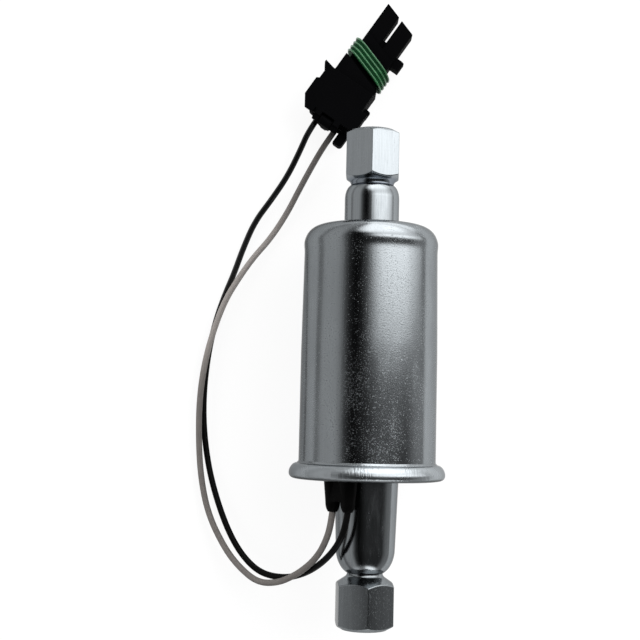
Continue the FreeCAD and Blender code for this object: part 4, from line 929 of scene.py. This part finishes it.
class PUMP_OT_fittings(bpy.types.Operator):
    """Makes the inlet and the outlet fitting with their threads"""
    bl_idname = "pump.make_fittings"
    bl_label = "Fittings"

    def execute(self, context):
        sizes = SCENE.pump_sizes
        corner = sizes.hexagon_corner / MM
        inlet = turned_finish("inlet_zinc", shade=0.85, wear=1.0)
        outlet = turned_finish("outlet_zinc", shade=1.0, wear=0.6)

        # inlet fitting, from the port's mouth over the outside to the spigot and back inside
        neck = 6.6
        groove_low, groove_high = (18.86, 7.4), (20.1, neck)
        dome_low, dome_high = (20.3, neck), (28.7, 10.9)
        barrel, spigot, lip = 11.8, 10.0, TUBE_SOCKET_RADIUS + 1.8
        rows = mouth_rows(0, 1) + hexagon_rows(19.4, -1, neck, 34)[::-1]
        rows += [groove_low, *swept_points(groove_low, -56.0, groove_high, 0.0, 8), groove_high]
        rows += [dome_low, *swept_points(dome_low, 62.0, dome_high, 2.1, 18), dome_high]
        rows += [(PLATE_LOW - 1, barrel), (PLATE_LOW, barrel), (PLATE_LOW, spigot),
                 (SPIGOT_HIGH, spigot), (SPIGOT_HIGH, lip), (LIP_LOW, lip),
                 (LIP_LOW, TUBE_SOCKET_RADIUS), (TUBE_LOW, TUBE_SOCKET_RADIUS),
                 (TUBE_LOW, PASSAGE_RADIUS), (DRILL_DEPTH, PASSAGE_RADIUS),
                 (DRILL_DEPTH, RELIEF_RADIUS), (PORT_DEPTH, RELIEF_RADIUS),
                 (PORT_DEPTH, PORT_RADIUS)]
        mesh = lathe("inlet_body", rows, hexagon_columns(
            sizes.inlet_flats / MM, turn_deg=5.0, corner=corner, bow=0.08))
        weighted(finished("inlet_body", mesh, inlet, "pump", "inlet_fitting"))

        # outlet fitting, the same way from its own end
        top = PUMP_LENGTH
        hex_low = top - 19.6
        neck, barrel, stud = 8.1, 10.27, 8.8
        groove_high, groove_low = (hex_low + 0.607, 9.0), (hex_low - 1.0, neck)
        round_high, round_low = (hex_low - 1.3, neck), (hex_low - 6.6, barrel)
        rows = mouth_rows(top, -1) + hexagon_rows(hex_low, 1, neck, 34)[::-1]
        rows += [groove_high, *swept_points(groove_high, -124.0, groove_low, 180.0, 8), groove_low]
        rows += [round_high, *reversed(swept_points(round_low, 0.0, round_high, -62.0, 16)),
                 round_low]
        rows += [(CAN_TOP + 1, barrel), (CAN_TOP, barrel), (CAN_TOP, stud), (STUD_LOW, stud),
                 (STUD_LOW, TUBE_SOCKET_RADIUS), (TUBE_HIGH, TUBE_SOCKET_RADIUS),
                 (TUBE_HIGH, PASSAGE_RADIUS), (top - DRILL_DEPTH, PASSAGE_RADIUS),
                 (top - PORT_DEPTH, PORT_RADIUS)]
        mesh = lathe("outlet_body", rows, hexagon_columns(
            sizes.outlet_flats / MM, turn_deg=-3.0, corner=corner, bow=0.02))
        weighted(finished("outlet_body", mesh, outlet, "pump", "outlet_fitting"))

        depth = sizes.thread_pitch * 0.5
        for name, station, material in (("inlet_thread", 1.4, inlet),
                                        ("outlet_thread", top - 12.0, outlet)):
            low = (station - HALF_LENGTH) * MM
            mesh = thread_mesh(name, material, low, low + THREAD_LENGTH * MM,
                               sizes.thread_pitch, PORT_RADIUS * MM + depth * 0.1, depth)
            finished(name, mesh, material, "pump")
        return {"FINISHED"}


class PUMP_OT_grommet(bpy.types.Operator):
    """Makes the rubber grommet with its two boots"""
    bl_idname = "pump.make_grommet"
    bl_label = "Grommet"

    def execute(self, context):
        rubber = rubber_finish("grommet_rubber", SCENE.pump_colours.boots, roughness=0.3,
                               specular=0.03)
        piece = finished("grommet_boots", cad_copy("lead_grommet"), rubber, "pump", "lead_grommet")
        remesh = piece.modifiers.new("Even skin", "REMESH")
        remesh.mode = "VOXEL"
        remesh.voxel_size = 0.00022
        remesh.use_smooth_shade = True
        smooth = piece.modifiers.new("Soft corners", "SMOOTH")
        smooth.factor = 0.5
        smooth.iterations = 6
        return {"FINISHED"}


class PUMP_OT_plug(bpy.types.Operator):
    """Makes the plug's housing, its ribbed seal and its rear lock"""
    bl_idname = "pump.make_plug"
    bl_label = "Plug"

    def execute(self, context):
        sizes = SCENE.pump_sizes
        colours = SCENE.pump_colours
        plastic = plastic_finish("black_nylon", colours.plug, roughness=0.5, specular=0.006)
        for name, node, body in (("plug_shell", "plug_housing", "pump"),
                                 ("rear_lock_cover", "plug_rear_lock", "rear_lock")):
            piece = finished(name, shaded(cad_copy(node, 1.0), 50), plastic, body, node)
            bevel = piece.modifiers.new("Moulded edges", "BEVEL")
            bevel.width = sizes.edge
            bevel.segments = 3
            bevel.limit_method = "ANGLE"
            bevel.angle_limit = math.radians(40)
            weighted(piece)
        green = rubber_finish("seal_rubber", colours.seal, roughness=0.16, specular=0.75)
        # Painted shade: the seal's band between the ribs is a darker copy of the green rubber
        shade = rubber_finish("seal_groove_painted_shade", (0.003, 0.025, 0.008), specular=0.05)
        pitch = SEAL_LENGTH * MM / (sizes.seal_ribs - 0.5)
        section = pitch * 0.2
        ribs = rib_mesh("seal_ribs", green, sizes.seal_ribs, SEAL_LOW * MM + pitch / 4, pitch,
                        (SEAL_WIDTH * MM - 2 * section) / math.cos(SLANT),
                        SEAL_THICKNESS * MM - 2 * section, section)
        band = slanted_ring("seal_band", SEAL_LOW, SEAL_LOW + SEAL_LENGTH, BAND_OUTSIDE,
                            BAND_INSIDE)
        finished("seal_band", band, shade, "pump", "plug_seal")
        finished("seal_ribs", ribs, green, "pump")
        return {"FINISHED"}


class PUMP_OT_inside(bpy.types.Operator):
    """Gives the pieces inside the can and the plug their finishes"""
    bl_idname = "pump.finish_inside"
    bl_label = "Inside"

    def execute(self, context):
        turned, drawn_out, even = (200, 1, 200), (1, 200, 1), (1, 1, 1)
        steel = steel_finish("turned_steel", (0.5, 0.5, 0.5), 0.28, 0.0003, turned)
        wire = steel_finish("spring_wire", (0.45, 0.45, 0.47), 0.25, 0.0005, even)
        brass = steel_finish("turned_brass", (0.75, 0.55, 0.25), 0.25, 0.0003, turned)
        drawn = steel_finish("drawn_tube", (0.6, 0.6, 0.6), 0.2, 0.0003, drawn_out)
        black = rubber_finish("inner_rubber", SCENE.pump_colours.boots)
        nylon = plastic_finish("natural_nylon", (0.6, 0.57, 0.48), roughness=0.45)
        package = plastic_finish("component_case", (0.02, 0.02, 0.02), roughness=0.4)
        copper = winding_finish()
        finishes = {
            steel: ("base_plate", "outlet_nut", "plunger", "lower_pole_washer", "upper_pole_washer",
                    "flux_sleeve", "lower_spacer", "upper_spacer"),
            wire: ("inlet_valve_spring", "plunger_spring", "plunger_valve_spring"),
            brass: ("inlet_valve_seat", "inlet_valve_cage", "plunger_valve_cage", "plug_terminals"),
            drawn: ("pump_tube", "inlet_strainer"),
            black: ("base_gasket", "tube_seal", "inlet_valve_disc", "plunger_valve_disc",
                    "outlet_bumper", "plug_cable_seals"),
            nylon: ("coil_bobbin", "board_standoffs"),
            package: ("power_transistor", "board_capacitor"),
            copper: ("drive_winding", "sensing_winding"),
            board_finish(): ("circuit_board",),
        }
        for material, nodes in finishes.items():
            for node in nodes:
                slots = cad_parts[node].data.materials
                slots.clear()
                slots.append(material)
        return {"FINISHED"}


class PUMP_OT_declare_leads(bpy.types.Operator):
    bl_idname = "pump.declare_leads"
    bl_label = "Declare leads"

    def execute(self, context):
        return {"FINISHED"}


class PUMP_OT_stage(bpy.types.Operator):
    """Makes the floor, the lamps and the world"""
    bl_idname = "pump.make_stage"
    bl_label = "Stage"

    def execute(self, context):
        mesh = bpy.data.meshes.new("floor")
        corners = [(-FLOOR_REACH, -FLOOR_REACH), (FLOOR_REACH, -FLOOR_REACH),
                   (FLOOR_REACH, FLOOR_FAR_END), (-FLOOR_REACH, FLOOR_FAR_END)]
        mesh.from_pydata([(*corner, FLOOR_LEVEL) for corner in corners], [], [(0, 1, 2, 3)])
        mesh.materials.append(floor_finish())
        floor = bpy.data.objects.new("floor", mesh)
        SCENE.collection.objects.link(floor)

        for name, spot, size, power in LAMPS:
            lamp = bpy.data.lights.new(name, "AREA")
            lamp.shape = "SQUARE"
            lamp.size = size
            lamp.energy = power
            holder = bpy.data.objects.new(name, lamp)
            SCENE.collection.objects.link(holder)
            holder.location = spot
            holder.rotation_mode = "QUATERNION"
            holder.rotation_quaternion = (-Vector(spot)).to_track_quat("-Z", "Y")
            holder.visible_glossy = False

        SCENE.world = studio_world()
        SCENE.view_settings.view_transform = "Standard"
        return {"FINISHED"}


class PUMP_PT_panel(bpy.types.Panel):
    """Lists the pump's pieces and settings"""
    bl_label = "Fuel Pump"
    bl_idname = "PUMP_PT_panel"
    bl_space_type = "VIEW_3D"
    bl_region_type = "UI"
    bl_category = "Fuel Pump"

    def draw(self, context):
        for operator in OPERATORS:
            self.layout.operator(operator.bl_idname)
        for group in (context.scene.pump_sizes, context.scene.pump_colours,
                      context.scene.pump_stage):
            box = self.layout.box()
            for name in group.__annotations__:
                box.prop(group, name)


GROUPS = (PumpSizes, PumpColours, PumpStage)
OPERATORS = (PUMP_OT_camera, PUMP_OT_leads, PUMP_OT_can, PUMP_OT_fittings, PUMP_OT_grommet,
             PUMP_OT_plug, PUMP_OT_inside, PUMP_OT_declare_leads, PUMP_OT_stage)


def register():
    for group in GROUPS:
        bpy.utils.register_class(group)
    for operator in OPERATORS:
        bpy.utils.register_class(operator)
    bpy.utils.register_class(PUMP_PT_panel)
    bpy.types.Scene.pump_sizes = PointerProperty(type=PumpSizes)
    bpy.types.Scene.pump_colours = PointerProperty(type=PumpColours)
    bpy.types.Scene.pump_stage = PointerProperty(type=PumpStage)


def unregister():
    del bpy.types.Scene.pump_stage
    del bpy.types.Scene.pump_colours
    del bpy.types.Scene.pump_sizes
    bpy.utils.unregister_class(PUMP_PT_panel)
    for kind in reversed(GROUPS + OPERATORS):
        bpy.utils.unregister_class(kind)


def main():
    """Makes every piece in order"""
    register()
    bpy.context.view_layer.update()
    for step in OPERATORS:
        group, name = step.bl_idname.split(".")
        getattr(getattr(bpy.ops, group), name)()


if __name__ == "__main__":
    main()
